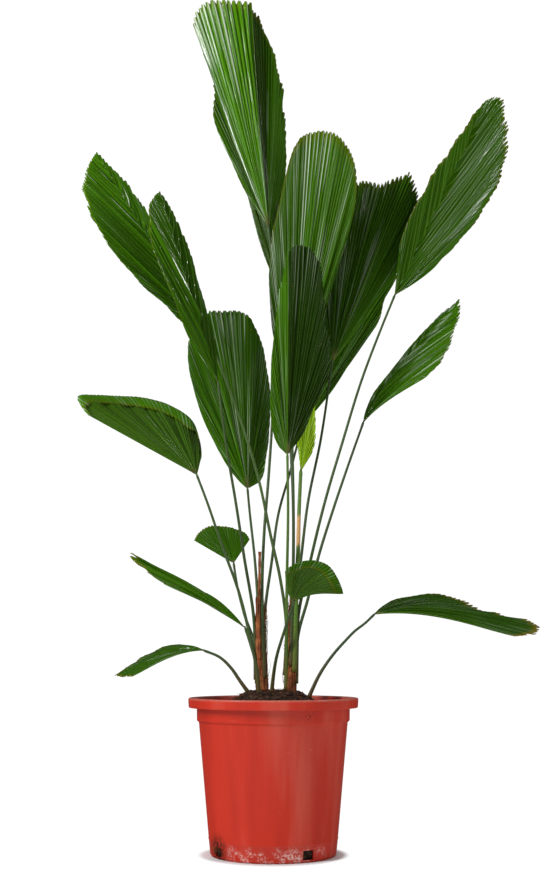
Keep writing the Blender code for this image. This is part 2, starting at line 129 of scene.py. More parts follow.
# How far the margin is cut back at each step across one tooth, from 0 to 1: a shallow split at
# its middle, two lobes, and a narrow deep notch where it meets the next tooth
TOOTH_CUT = np.array([0.3, 0.0, 0.22, 0.6, 1.0, 0.6, 0.22, 0.0])
# How much teeth differ from each other: in depth, in their lobes, in pleat height and at their tips
TOOTH_JITTER = (0.6, 1.3)
LOBE_CUT = 0.25
FOLD_JITTER = (0.75, 1.2)
TOOTH_FLICK = 0.9 * MM
CREASE = 0.16
# Where a margin runs along its ribs, the share of its length that counts for spacing them
SIDE_SHARE = 0.3
# How much deeper the teeth of a slanting margin are cut, and over how many degrees they set in
SAW_DEPTH = 1.4
SAW_EASE = 2.0
# How a bent leaf's bend fades, and its depth grows, on the way out, as powers
BEND_FADE = 1.5
DEPTH_GROWTH = 1.15
# Ribs at least this long have whole teeth, a whole roll and a whole ruffle
TOOTH_LENGTH = 160 * MM
CURL_LENGTH = 100 * MM
RUFFLE_LENGTH = 200 * MM
# The rolled margin's radius, how far inside it the pleats flatten, and how much painted light brightens it
CURL_RADIUS = 3.2 * MM
CURL_TURN = 0.85 * math.pi
CURL_EASE = 25 * MM
CURL_PAINTED_LIGHT = 0.9
# How far up a midrib its last ribs leave it, and the way over which their pleats rise from it
MIDRIB_END = 0.94
MIDRIB_EASE = 14 * MM
# Ribs that leave the midrib count as this far out, which is past the blade's brown heel
PAST_HEEL = 0.08
# The margin's slow ruffle and its length in pleats, and the swell of the middle of the blade
RUFFLE_HEIGHT = 2.4 * MM
RUFFLE_PLEATS = 6.3
SWELL_HEIGHT = 0.33 * MM
SWELL_PLEATS = (2.3, 3.7, 5.9)
# Pleats wider than this grow no taller
TALL_PLEAT = 15 * MM
# Sets the pattern of one leaf apart from the next, in pleats
PATTERN_STEP = 37
# Width of a pleat and length of a blade that the painted patterns are sized by
PLEAT_WIDTH = 9 * MM
BLADE_LENGTH = 336 * MM

# Each leaf as in the solids, in millimetres and degrees of the front view: foot is (right, height,
# behind), base its place on a stem or in the soil, route what its stalk passes, and each rib of its
# panels is (swing from upright, reach, how far behind the axis its tip lies).  bend is how many
# degrees the ribs turn clockwise on their way out.
LEAVES = {
    "crown_top": {
        "foot": (-8, 1019, 70), "base": ("left", 302, 270, 385),
        "route": ((-3, 971, 66), (3, 842, 60), (-2, 683, 42), (-8, 590, 22), (-15, 500, 4)),
        "panels": (((-34, 48, 100), (-28.6, 130, 150), (-27, 190, 170), (-24.6, 229, 180), (-21, 258, 190),
                    (-18.9, 400, 75)),
                   ((-18.9, 400, 75), (-17.8, 412, 68), (-11, 421, 42), (-4.6, 408, 60)),
                   ((-4.6, 408, 60), (-3.2, 385, 105), (-1.6, 358, 130)),
                   ((-1.6, 358, 130), (1.7, 311, 118), (4.3, 262, 158), (8.8, 184, 190), (17.5, 90, 150))),
    },
    "crown_back": {
        "foot": (8, 911, 160), "base": ("right", 99, 270, 385),
        "route": ((20, 800, 140), (28, 650, 92), (32, 560, 60)),
        "panels": (((-22, 55, 170), (-18.2, 140, 190), (-15, 300, 240), (-8, 395, 265), (-3, 330, 300)),
                   ((-3, 330, 300), (1, 240, 305), (8, 170, 300), (20, 140, 280))),
    },
    "upper_left_outer": {
        "foot": (-117, 845, -20), "base": ("right", 178, 275, 340),
        "route": ((-90, 784, -15), (-48, 670, -8), (-25, 594, -9), (-3, 492, -9), (11, 429, -6)),
        "panels": (((-80, 28, -26), (-62, 62, -50), (-54.8, 126, -80), (-49.2, 204, -102),
                    (-44.7, 269, -112), (-41, 316, -92), (-36.6, 340, -60), (-31.1, 359, -20)),
                   ((-31.1, 359, -20), (-28.3, 296, 15), (-26, 232, 45), (-22, 120, 50))),
    },
    "upper_left_inner": {
        "foot": (-91, 750, -90), "base": ("left", 187, 268, 350),
        "route": ((-85, 701, -86), (-76, 638, -72), (-62, 557, -48), (-48, 468, -22)),
        "panels": (((-33, 90, -115), (-28, 150, -130), (-25.4, 262, -148), (-22.2, 318, -150),
                    (-19.4, 341, -130), (-17.1, 348, -112)),
                   ((-17.1, 348, -112), (-14.6, 292, -85), (-12.3, 222, -65), (-9.6, 128, -60),
                    (-4, 70, -65))),
    },
    "centre": {
        "foot": (29, 715, -20), "base": ("right", 262, 290, 400),
        "route": ((32, 610, -20), (33, 524, -18)),
        "panels": (((-14, 120, 8), (-10, 205, 14), (-6.8, 276, 12), (-2.4, 362, 0), (1.4, 453, -16),
                    (2.6, 469, -22), (4.2, 474, -28)),
                   ((4.2, 474, -28), (7.7, 481, -34), (11.9, 463, -38), (14.6, 434, -38), (17.1, 382, -34),
                    (18.5, 310, -28), (18.9, 240, -25), (19.4, 187, -23))),
    },
    "front": {
        "foot": (23, 630, -120), "base": ("right", 221, 251, 290),
        "route": ((24, 540, -92), (22, 430, -50), (21, 345, -24)),
        "panels": (((-46, 17, -122), (-31, 46, -124), (-17, 97, -128), (-8.5, 172, -136), (-2.9, 270, -152),
                    (0.2, 348, -192)),
                   ((0.2, 348, -192), (3, 359, -178), (7.5, 349, -152), (10.8, 312, -126), (15.5, 243, -98),
                    (22, 193, -80), (27, 150, -77), (29, 88, -92), (38, 33, -110))),
    },
    "right_inner": {
        "foot": (98, 787, 40), "base": ("right", 59, 275, 395),
        "route": ((78, 656, 42), (56, 549, 32), (46, 470, 18)),
        "panels": (((-8, 107, 70), (0, 237, 90), (8, 316, 70), (15.5, 323, 45), (22, 357, 20)),
                   ((22, 357, 20), (27.8, 323, 50), (33.7, 285, 90), (34.5, 207, 130),
                    (35.6, 156, 140))),
    },
    "upper_right": {
        "foot": (203, 900, 0), "base": ("right", 19, 272, 360),
        "route": ((182, 849, 0), (145, 752, -2), (115, 656, 0), (83, 549, 2), (61, 461, 4)),
        "panels": (((6.5, 88, -35), (12.6, 150, -60), (21, 276, -50), (25, 385, -5)),
                   ((25, 385, -5), (28.2, 398, 25), (32.3, 368, 65), (35.9, 339, 95),
                    (41.3, 277, 120), (49.5, 142, 105), (52.6, 74, 65))),
    },
    "back_right": {
        "foot": (47, 676, 130), "base": ("left", 44, 272, 345),
        "route": ((27, 600, 116), (9, 536, 88), (-2, 460, 46)),
        "panels": (((-12, 229, 200), (2.7, 274, 225), (16.2, 294, 215)),
                   ((16.2, 294, 215), (24, 300, 195), (30.9, 309, 182), (33, 252, 172), (35.2, 230, 165),
                    (36.2, 165, 153), (37.4, 80, 141))),
    },
    "mid_right": {
        "foot": (148, 684, -40), "base": ("right", 340, 262, 330), "bend": 12,
        "route": ((119, 603, -36), (98, 542, -30), (72, 460, -20), (56, 397, -12)),
        "panels": (((17, 42, -22), (28, 92, 0), (33, 171, 12), (37.8, 267, 0)),
                   ((37.8, 267, 0), (40.3, 257, -14), (44.5, 222, -42), (49, 190, -66), (51.8, 166, -80),
                    (53.8, 130, -82))),
    },
    "mid_left": {
        "foot": (-125, 597, -40), "base": ("soil", -23, -21),
        "route": ((-108, 553, -42), (-84, 484, -40), (-55, 405, -34), (-34, 320, -28),
                  (-25, 275, -23)),
        "panels": (((-61, 209, -60), (-57, 238, -50), (-51.9, 217, -10)),
                   ((-51.9, 217, -10), (-46, 191, 25), (-38.2, 167, 60), (-18.3, 119, 100), (-5, 91, 98),
                    (2.4, 65, 78), (14, 32, 15))),
    },
    "centre_left": {
        "foot": (-42, 574, 50), "base": ("left", 102, 268, 360),
        "route": ((-39, 542, 46), (-30, 460, 28)),
        "panels": (((-47, 18, 50), (-37.5, 75, 42), (-32.5, 136, 28), (-27.2, 204, 20), (-24.5, 243, 26),
                    (-20.9, 272, 40), (-12.2, 307, 80)),
                   ((-12.2, 307, 80), (0, 292, 70), (5.4, 243, 85), (10.7, 185, 95), (16, 136, 95),
                    (23, 88, 85), (35, 51, 70), (60, 22, 56))),
    },
    "small_back_left": {
        "foot": (-64, 453, 100), "base": ("left", 145, 262, 310),
        "route": ((-59, 421, 80), (-47, 373, 44)),
        "panels": (((-60, 75, 130), (-46.9, 76, 145), (-30.3, 71, 158), (-14, 62, 160), (4, 56, 152),
                    (20, 53, 143), (33.6, 47, 130)),),
    },
    "low_left_strap": {
        "foot": (-45, 349, 0), "base": ("left", 225, 256, 285), "bend": -10,
        "route": ((-36, 322, -5),),
        "panels": (((-61.8, 150, -25), (-61, 174, -28), (-59.2, 205, -24), (-57.5, 224, 0)),
                   ((-57.5, 224, 0), (-55.5, 170, 20), (-51.5, 110, 28), (-46, 58, 24))),
    },
    "lowest_left": {
        "foot": (-111, 314, -20), "base": ("soil", -38, -18), "bend": -20,
        "route": ((-85, 303, -22), (-67, 286, -22), (-53, 266, -20)),
        "panels": (((-109.7, 122, -60), (-107.8, 135, -45), (-105.5, 148, -20)),
                   ((-105.5, 148, -20), (-101, 119, 0), (-97, 103, 15), (-91, 80, 28), (-84, 62, 32),
                    (-76, 40, 20))),
    },
    "small_front": {
        "foot": (33, 390, -110), "base": ("soil", -3, -24), "bend": 28,
        "route": ((26, 370, -100), (16, 340, -82), (5, 303, -56), (0, 273, -34)),
        "panels": (((-16, 53, -140), (-8, 58, -150), (8.5, 67, -155), (28.4, 78, -155)),
                   ((28.4, 78, -155), (44, 83, -155), (60, 82, -148), (80, 82, -115))),
    },
    "low_right": {
        "foot": (162, 371, -10), "base": ("soil", 55, -6), "bend": 18,
        "route": ((147, 357, -10), (131, 345, -10), (115, 329, -9), (96, 308, -8), (76, 280, -7)),
        "panels": (((51, 34, 12), (63.5, 65, 42), (70, 98, 68), (78, 133, 75), (86, 165, 65),
                    (90.8, 215, 40), (93.3, 262, 0), (94.8, 268, -20)),
                   ((94.8, 268, -20), (97.1, 258, -50), (98.6, 224, -80))),
    },
    "young": {
        "foot": (45, 603, 20), "base": ("right", 301, 280, 400),
        "route": ((42, 540, 6), (40, 470, -6)),
        "panels": (((-6, 150, 50), (-1.8, 186, 30)),
                   ((-1.8, 186, 30), (6, 150, 12), (13.3, 110, 0), (19.3, 77, 0), (25.8, 58, 5),
                    (31.5, 36, 12))),
    },
}
# How each leaf looks.  tint is the leaf's green, or one for each panel: 0 deepest, 1 brightest; a
# panel's value is also painted shade on folds turned from the light, and painted light on those facing it.
# dry is how far its margin has browned.  relax is how much its pleats flatten outwards, pitch and
# teeth scale its teeth, pleat the height of its pleats and the depth of the shade painted in their
# valleys, and curl is how far, in millimetres, its margin folds over towards the viewer; band is how
# much painted light brightens that fold.  A leaf with a midrib has ribs that leave it at that many
# degrees.  A leaf with under set shows the viewer its lower face.  Between the two swings of saw the
# teeth are full even where the margin slants.  wax is how much painted highlight, in pale silver
# streaks, lies on the leaf, and a dull leaf has lost its shine.
LOOKS = {
    "crown_top": {"tone_and_shade": (0.0, 0.85, -0.6, 0.3), "dry": 0.12, "pitch": 0.9, "teeth": 1.2, "painted_glint": 1.1},
    "crown_back": {"tone_and_shade": -0.1, "dry": 0.1, "pitch": 0.7, "painted_glint": 0.9},
    "upper_left_outer": {"tone_and_shade": (0.8, 0.75), "dry": 0.1, "pitch": 0.7, "teeth": 1.2, "midrib": 13,
                         "saw": (-56, -36), "painted_glint": 1.2},
    "upper_left_inner": {"tone_and_shade": (0.4, 0.0), "dry": 0.1, "pitch": 0.7, "teeth": 0.8, "midrib": 9,
                         "painted_glint": 0.8},
    "centre": {"tone_and_shade": (-0.25, 0.15), "dry": 0.12, "pitch": 0.65, "relax": 0.8, "pleat": 0.55,
               "teeth": 0.6, "saw": (5, 18), "dull": True, "painted_glint": 0.7},
    "front": {"tone_and_shade": (0.25, -0.5), "dry": 0.0, "pitch": 0.7, "relax": 0.8, "pleat": 0.8, "teeth": 0.5,
              "dull": True},
    "right_inner": {"tone_and_shade": (-0.1, 0.2), "dry": 0.1, "pitch": 0.7, "teeth": 1.2, "saw": (14, 33),
                    "painted_glint": 0.3},
    "upper_right": {"tone_and_shade": (0.1, 0.4), "dry": 0.25, "pitch": 0.75, "teeth": 1.3, "midrib": 12,
                    "saw": (23, 41), "painted_glint": 1.3},
    "back_right": {"tone_and_shade": 0.0, "dry": 0.1, "pitch": 0.7, "painted_glint": 0.2},
    "mid_right": {"tone_and_shade": (-0.1, 0.3), "dry": 0.1, "pleat": 0.6, "pitch": 0.75, "teeth": 1.1,
                  "midrib": 11, "saw": (36, 53)},
    "mid_left": {"tone_and_shade": (0.2, 0.35), "dry": 0.2, "relax": 0.85, "pleat": 0.4, "pitch": 0.8, "curl": 30,
                 "under": True},
    "centre_left": {"tone_and_shade": (0.45, -0.2), "dry": 0.0, "relax": 0.75, "pleat": 0.5, "pitch": 0.8,
                    "teeth": 0.7, "dull": True},
    "small_back_left": {"tone_and_shade": 0.1, "dry": 0.2, "relax": 0.95, "pleat": 0.25, "pitch": 0.6,
                        "teeth": 0.5, "dull": True, "painted_glint": 0.1},
    "low_left_strap": {"tone_and_shade": 0.3, "dry": 0.3, "pitch": 0.7, "teeth": 1.2, "saw": (-64, -54),
                       "painted_glint": 0.8},
    "lowest_left": {"tone_and_shade": 0.0, "dry": 0.3, "relax": 0.9, "pleat": 0.3, "pitch": 0.5, "teeth": 0.3},
    "small_front": {"tone_and_shade": 0.0, "dry": 0.2, "relax": 0.8, "pleat": 0.7, "pitch": 0.5, "teeth": 0.4,
                    "curl": 22, "painted_band_light": 0.1, "under": True},
    "low_right": {"tone_and_shade": -0.25, "dry": 0.5, "relax": 0.8, "pleat": 0.4, "pitch": 0.7, "teeth": 1.5,
                  "dull": True, "painted_glint": 0.1},
    "young": {"tone_and_shade": 0.6, "dry": 0.0, "pitch": 0.8, "teeth": 1.0, "saw": (-2, 36)},
}


def hex_colour(code):
    """An sRGB hex colour as linear red, green and blue."""
    parts = [int(code[i:i + 2], 16) / 255 for i in (1, 3, 5)]
    return tuple(p / 12.92 if p <= 0.04045 else ((p + 0.055) / 1.055) ** 2.4 for p in parts)


def colour_property(name, description, code):
    return FloatVectorProperty(name=name, description=description, subtype="COLOR", size=3,
                               min=0, max=1, default=hex_colour(code))


class FanPalmLeafSettings(bpy.types.PropertyGroup):
    """Sizes and colours of the blades and stalks."""
    tooth_pitch: FloatProperty(name="Tooth pitch", description="Width of one pleat at the margin",
                               default=11 * MM, min=4 * MM, max=40 * MM, unit="LENGTH")
    tooth_depth: FloatProperty(name="Tooth depth", description="How deep the margin is cut",
                               default=6 * MM, min=0, max=20 * MM, unit="LENGTH")
    pleat_share: FloatProperty(name="Pleat share", description="Pleat height as a share of its width",
                               default=0.32, min=0, max=0.5)
    thickness: FloatProperty(name="Thickness", description="Thickness of the blade",
                             default=0.8 * MM, min=0.3 * MM, max=3 * MM, unit="LENGTH")
    rows: IntProperty(name="Rows", description="Rows from the foot to the margin",
                      default=30, min=6, max=80)
    deep: colour_property("Deep green", "Colour of the oldest blades", "#122C02")
    bright: colour_property("Bright green", "Colour of the blades in full light", "#4C8A00")
    under: colour_property("Underside", "Colour of the lower face", "#34580A")
    young: colour_property("Young green", "Colour of the youngest blade", "#7C9E12")
    dry: colour_property("Dry margin", "Colour of browned tips and spots", "#9C7A1C")
    stalk: colour_property("Stalk green", "Colour of the stalks", "#465A38")


class FanPalmPotSettings(bpy.types.PropertyGroup):
    """Sizes and colours of the pot, the soil and the stems."""
    turns: IntProperty(name="Pot steps", description="Steps round the pot",
                       default=192, min=24, max=512)
    plastic: colour_property("Pot plastic", "Colour of the moulded pot", "#C02C17")
    lime: colour_property("Lime", "Colour of the dried lime near the pot's foot", "#E6CFC6")
    soil: colour_property("Soil", "Colour of the damp compost", "#382418")
    fibre: colour_property("Fibre", "Colour of the stems' dry fibre", "#7E4424")
    crumbs: IntProperty(name="Crumbs", description="Crumbs of compost on the heap",
                        default=1500, min=0, max=6000)
    fibres: IntProperty(name="Fibres", description="Loose fibres on each stem",
                        default=260, min=0, max=1000)


def in_world(right, height, behind):
    """Front-view places, in metres, as world places: each is slid along the line of sight to its depth."""
    share = (VIEW_DISTANCE + behind) / VIEW_DISTANCE
    return np.stack([right * share, behind + 0 * share, VIEW_HEIGHT + (height - VIEW_HEIGHT) * share], -1)


def front_view_place(place):
    return in_world(*(np.float64(value) * MM for value in place))


def unit(vectors):
    return vectors / np.maximum(np.linalg.norm(vectors, axis=-1, keepdims=True), TINY)


def smooth_through(keys, at, values):
    """Cubic Hermite pieces through the values; each key's slope is the slope between its neighbours."""
    keys = np.asarray(keys, float)
    values = np.asarray(values, float)
    slopes = np.gradient(values, keys, axis=0) if len(keys) > 2 else np.repeat(
        (values[1:] - values[:-1]) / (keys[1] - keys[0]), 2, axis=0)
    span = np.clip(np.searchsorted(keys, at, side="right") - 1, 0, len(keys) - 2)
    width = (keys[span + 1] - keys[span])[:, None]
    t = (at - keys[span])[:, None] / width
    return ((2 * t**3 - 3 * t**2 + 1) * values[span] + (t**3 - 2 * t**2 + t) * width * slopes[span]
            + (3 * t**2 - 2 * t**3) * values[span + 1] + (t**3 - t**2) * width * slopes[span + 1])


def turned(radius, angle, height):
    """Places at a radius and an angle round the upright axis, at a height."""
    return np.stack(np.broadcast_arrays(radius * np.cos(angle), radius * np.sin(angle), height), -1)


def running_length(places):
    return np.concatenate([[0], np.cumsum(np.linalg.norm(np.diff(places, axis=0), axis=1))])


def fan_places(leaf, swing, reach, tip_depth, along):
    """Foot plus reach times share, turned by the swing less what is left of the leaf's bend, which
    fades as a power of the share left; depth grows as a power of the share."""
    right, height, behind = (value * MM for value in leaf["foot"])
    turn = np.radians(swing - leaf.get("bend", 0) * (1 - along) ** BEND_FADE)
    depth = behind + (tip_depth * MM - behind) * along**DEPTH_GROWTH
    way = reach * MM * along
    return in_world(right + way * np.sin(turn), height + way * np.cos(turn), depth)


def rib_places(leaf, ribs, along):
    """Places at shares along each straight rib from the foot to the margin."""
    return fan_places(leaf, *ribs.T[:, :, None], along)


def rib_tips(leaf, ribs):
    return rib_places(leaf, ribs, np.array([[1.0]]))[:, 0]


def branch_start(ribs, middle, spread):
    """Where each rib leaves the midrib, in millimetres from the foot, and its tip across and along it.

    A rib turns from the midrib by the spread, in degrees, or by its side's outermost rib's turn where
    that is less.  So it starts its tip's height along the midrib less its tip's distance from it
    over that angle's tangent, but never below the foot."""
    turn = np.radians(ribs[:, 0] - ribs[middle, 0])
    across, along = ribs[:, 1] * np.sin(turn), ribs[:, 1] * np.cos(turn)
    outermost = np.where(np.arange(len(ribs)) < middle, -turn[0], turn[-1])
    start = along - np.abs(across) / np.tan(np.minimum(np.radians(spread), outermost))
    return np.clip(start, 0, MIDRIB_END * ribs[middle, 1]), across, along


def branched_places(leaf, ribs, middle, spread, share):
    """Places at shares along ribs that branch from the midrib, on the same smooth fan.

    A place is its rib's start and tip mixed by the share.  Its swing and reach are that place's
    own, and the fan's whole reach and depth at that swing tell how far out it lies."""
    start, across, along = branch_start(ribs, middle, spread)
    x = across[:, None] * share
    y = start[:, None] + (along - start)[:, None] * share
    swing = ribs[middle, 0] + np.degrees(np.arctan2(x, y))
    order = np.maximum.accumulate(ribs[:, 0])
    whole = np.interp(swing, order, ribs[:, 1])
    return fan_places(leaf, swing, whole, np.interp(swing, order, ribs[:, 2]),
                      np.clip(np.hypot(x, y) / whole, 0, 1))


def margin_and_spread(leaf, keys):
    """The key ribs' places along the margin, as lengths: all of it, and the part across the ribs.

    Where the margin runs along the ribs, as on a long side, only a share of its length counts as
    spread, so pleats keep their width there."""
    tips = rib_tips(leaf, keys)
    steps = np.linalg.norm(np.diff(tips, axis=0), axis=1)
    outward = np.abs(np.diff(np.linalg.norm(tips - front_view_place(leaf["foot"]), axis=1)))
    across = np.sqrt(np.maximum(steps**2 - outward**2, 0)) + SIDE_SHARE * outward
    return np.concatenate([[0], np.cumsum(steps)]), np.concatenate([[0], np.cumsum(across)])


def curled_ribs(leaf, ribs, way):
    """Rib places at distances along each rib, whose last stretch rolls over towards the viewer.

    Up to the roll a rib is as ever.  It then follows most of a half circle of the curl's radius, in
    the plane of the rib and the line of sight, and runs straight back, 0.9 of its way down the rib
    and 0.15 of it towards the leaf, until it nearly meets it."""
    reach = ribs[:, 1:2] * MM
    flat = reach - 1.5 * CURL_RADIUS
    turn = np.clip((way - flat) / CURL_RADIUS, 0, CURL_TURN)
    after = np.maximum(way - flat - turn * CURL_RADIUS, 0) * (way > flat)
    along = np.where(way > flat, flat + CURL_RADIUS * np.sin(turn) - 0.9 * after, way) / reach
    places = rib_places(leaf, ribs, np.clip(along, 0, 1))
    places[..., 1] -= (1 - np.cos(turn)) * CURL_RADIUS - 0.15 * after
    return places


def toothed_ribs(leaf, look, pitch):
    """Ribs spread evenly over each panel's margin, eight steps to a tooth.

    With them come each rib's tone, partly painted light and shade, blurred over two teeth, the
    number of teeth, and which rib ends the first panel, where a midrib lies."""
    columns, tones_and_shade, ends = [], [], [0]
    panel_tones_and_shade = np.atleast_1d(look["tone_and_shade"])
    for index, panel in enumerate(leaf["panels"]):
        keys = np.array(panel, float)
        margin, spread = margin_and_spread(leaf, keys)
        count = max(2, round(spread[-1] / (pitch * look.get("pitch", 1.0)))) * STEPS_PER_TOOTH
        at = np.interp(np.linspace(0, spread[-1], count + 1), spread, margin)
        skip = 1 if index else 0
        columns.append(smooth_through(margin, at, keys)[skip:])
        # Each panel's tone is partly its green and partly painted light and shade, by how it faces the lamps
        tones_and_shade.append(np.full(count + 1 - skip, panel_tones_and_shade[min(index, len(panel_tones_and_shade) - 1)]))
        ends.append(ends[-1] + count)
    blur = 2 * STEPS_PER_TOOTH + 1
    tone_and_shade = np.pad(np.concatenate(tones_and_shade), STEPS_PER_TOOTH, mode="edge")
    tone_and_shade = np.convolve(tone_and_shade, np.full(blur, 1 / blur), mode="valid")
    return np.concatenate(columns), tone_and_shade[:, None], ends[-1] // STEPS_PER_TOOTH, ends[1]


def tooth_cuts(look, depth, draw, teeth, swing, square, length):
    """How far the margin is cut back at each rib: by the outline of a tooth, times its own jitter,
    plus a cut for each of its two lobes; less where the margin runs along short or slanting ribs."""
    step = np.arange(len(swing))[:, None]
    tooth = np.floor(step / STEPS_PER_TOOTH + 0.5).astype(int)
    jitter = draw.uniform(*TOOTH_JITTER, teeth + 2)[tooth]
    second_lobe = (step % STEPS_PER_TOOTH > STEPS_PER_TOOTH // 2).astype(int)
    lobes = draw.uniform(0, LOBE_CUT, (teeth + 2, 2))[tooth, second_lobe]
    low, high = look.get("saw", (0, 0))
    saw = np.clip(np.minimum(swing - low, high - swing) / SAW_EASE, 0, 1)
    keen = np.maximum(square**1.5 * np.clip(length / TOOTH_LENGTH, 0.4, 1), SAW_DEPTH * saw)
    return depth * look.get("teeth", 1.0) * (TOOTH_CUT[step % STEPS_PER_TOOTH] * jitter + lobes) * keen


def pleat_lift(look, share, draw, teeth, pleat, rows, width, square, length):
    """How far each place stands off the smooth fan.

    A triangle wave across each pleat, as high as a share of the pleat's width, falls off outwards,
    with creases that make each fold a little uneven.  Added are a slow sine along the margin, which
    grows as the cube of the way out, three long sines that are highest half way out, and a flick of
    each tooth's tip.  All of it fades at the first and last pleat and on the sides of the fan."""
    tooth = np.floor(pleat + 0.5).astype(int)
    high = look.get("pleat", 1.0)
    strength = draw.uniform(*FOLD_JITTER, teeth + 2)[tooth] * high
    slow = RUFFLE_HEIGHT * rows**3 * np.sin(pleat * FULL_TURN / RUFFLE_PLEATS + draw.uniform(0, 6))
    swell = sum(np.sin(pleat * FULL_TURN / period + rows * draw.uniform(-2.5, 2.5) + draw.uniform(0, 6))
                * period for period in SWELL_PLEATS) * SWELL_HEIGHT * np.sin(math.pi * rows**0.8)
    flick = draw.normal(0, TOOTH_FLICK, teeth + 2)[tooth] * np.clip(rows * 6 - 5, 0, 1)
    ruffle = (slow + swell + flick) * np.clip(length / RUFFLE_LENGTH, 0.3, 1) * min(1, high + 0.2)
    near = np.minimum(width, TALL_PLEAT)
    relax = look.get("relax", 0.5)
    zigzag = 1 - 2 / math.pi * np.arccos(np.clip(np.cos(FULL_TURN * pleat), -1, 1))
    fold = share * strength * near * zigzag * (1 - relax * rows**1.5)
    halves = np.arange(2 * teeth + 3) / 2
    uneven = np.interp(pleat, halves, draw.normal(0, CREASE, len(halves))) * near * (1 - relax * rows)
    smooth_side = 1 - (1 - np.clip(square * 1.2, 0, 1)) * rows**5
    return (fold + ruffle + uneven) * smooth_side * np.clip(np.minimum(pleat, teeth - pleat), 0, 1)


def blade_surface(leaf, look, settings, seed):
    """The pleated blade, a grid of ribs by rows, with (pleat number, share of the way out, tone and shade).

    Each rib runs from the foot, or from the midrib, to the margin less its tooth's cut, or on into
    the curl.  Its places are then moved along the smooth fan's normal by their lift.  square is the
    sine of the angle between a rib and the margin."""
    draw = np.random.default_rng(seed)
    ribs, tone_and_shade, teeth, middle = toothed_ribs(leaf, look, settings.tooth_pitch)
    pleat = np.arange(len(ribs))[:, None] / STEPS_PER_TOOTH
    rows = np.linspace(0, 1, settings.rows + 1)[None, :] ** ROW_POWER
    heel, reach, branched = front_view_place(leaf["foot"]), ribs[:, 1:2] * MM, False
    if "midrib" in look:
        start, across, along = branch_start(ribs, middle, look["midrib"])
        heel = branched_places(leaf, ribs, middle, look["midrib"], np.array([[0.0]]))[:, 0]
        reach, branched = np.hypot(across, along - start)[:, None] * MM, start[:, None] > 0
    tips = rib_tips(leaf, ribs)
    length = np.linalg.norm(tips - heel, axis=1)[:, None]
    across_rib = np.cross(unit(np.gradient(tips, axis=0)), unit(tips - heel))
    square = np.linalg.norm(across_rib, axis=1)[:, None]
    cut = tooth_cuts(look, settings.tooth_depth, draw, teeth, ribs[:, :1], square, length)
    curl = look.get("curl", 0) * MM * np.clip(square * 1.4 - 0.2, 0, 1)
    curl = curl * np.clip(length / CURL_LENGTH, 0.2, 1)
    begin = np.where(branched, 0, BLADE_START)
    way = begin + (reach + curl - cut - begin) * rows
    if "curl" in look:
        grid = curled_ribs(leaf, ribs, way)
    elif "midrib" in look:
        grid = branched_places(leaf, ribs, middle, look["midrib"], way / reach)
    else:
        grid = rib_places(leaf, ribs, way / reach)
    across = np.gradient(grid, axis=0)
    normal = unit(np.cross(across, np.gradient(grid, axis=1)))
    width = np.linalg.norm(across, axis=2) * STEPS_PER_TOOTH
    lift = pleat_lift(look, settings.pleat_share, draw, teeth, pleat, rows, width, square, length)
    if "curl" in look:
        lift = lift * np.clip((reach - way) / CURL_EASE, 0.1, 1)
        # Painted light: the rolled margin is painted brighter, as if lit, though it lies in its own shade
        tone_and_shade = tone_and_shade + look.get("painted_band_light", CURL_PAINTED_LIGHT) * np.clip((way - reach) / CURL_RADIUS, 0, 1)
    if "midrib" in look:
        lift = lift * np.clip(way / MIDRIB_EASE, 0, 1)
    out = rows + (1 - rows) * PAST_HEEL * branched
    marks = np.stack(np.broadcast_arrays(pleat + PATTERN_STEP * seed, out, tone_and_shade), -1)
    return grid + normal * lift[:, :, None], marks


def slot_place(stem, turn, height, radius):
    """A stalk's axis where it lies along its stem, turned round it from +X towards +Y."""
    spec = STEMS[stem]
    share = (height - SOIL_HEAP_HEIGHT) / spec["height"]
    x, y = [(low + (high - low) * share) * MM for low, high in zip(spec["foot"], spec["top"])]
    stem_radius = STEM_FOOT_RADIUS + (STEM_TOP_RADIUS - STEM_FOOT_RADIUS) * min(max(share, 0), 1)
    out = stem_radius + radius + SLOT_GAP
    angle = math.radians(turn)
    return np.array([x + out * math.cos(angle), y + out * math.sin(angle), height])


def stalk_start(base, radius):
    """The lower places of a stalk, up its slot on a stem, or the one place where it leaves the soil."""
    if base[0] == "soil":
        x, y = base[1] * MM, base[2] * MM
        return [np.array([x, y, heap_height(x, y) - STALK_SUNK])]
    stem, turn, low, high = base
    low = max(low * MM, SOIL_HEAP_HEIGHT)
    return [slot_place(stem, turn, height, radius) for height in np.linspace(low, high * MM, 3)]


def tube_surface(path, radii, sides, wobble=0.0):
    """Rings round a path: the ring's axes are square to the path, and its radius follows radii.

    wobble makes the ring a little flat on one side, as a share of its radius."""
    along = unit(np.gradient(path, axis=0))
    side = unit(np.cross(along, [0.0, 1.0, 0.0]))
    angle = np.linspace(0, FULL_TURN, sides, endpoint=False)[:, None, None]
    ring = np.cos(angle) * side + (1 - wobble) * np.sin(angle) * np.cross(along, side)
    grid = path + ring * np.asarray(radii)[:, None]
    marks = np.stack(np.broadcast_arrays(angle[..., 0] / FULL_TURN, running_length(path)[None]), -1)
    return grid, marks


def grid_faces(columns, rows, closed):
    """Quads between neighbouring ribs and rows; a closed grid joins its last rib to its first."""
    number = np.arange(columns * rows).reshape(columns, rows)
    after = np.roll(number, -1, axis=0) if closed else number[1:]
    before = number if closed else number[:-1]
    return np.stack([before[:, :-1], after[:, :-1], after[:, 1:], before[:, 1:]], -1).reshape(-1, 4)


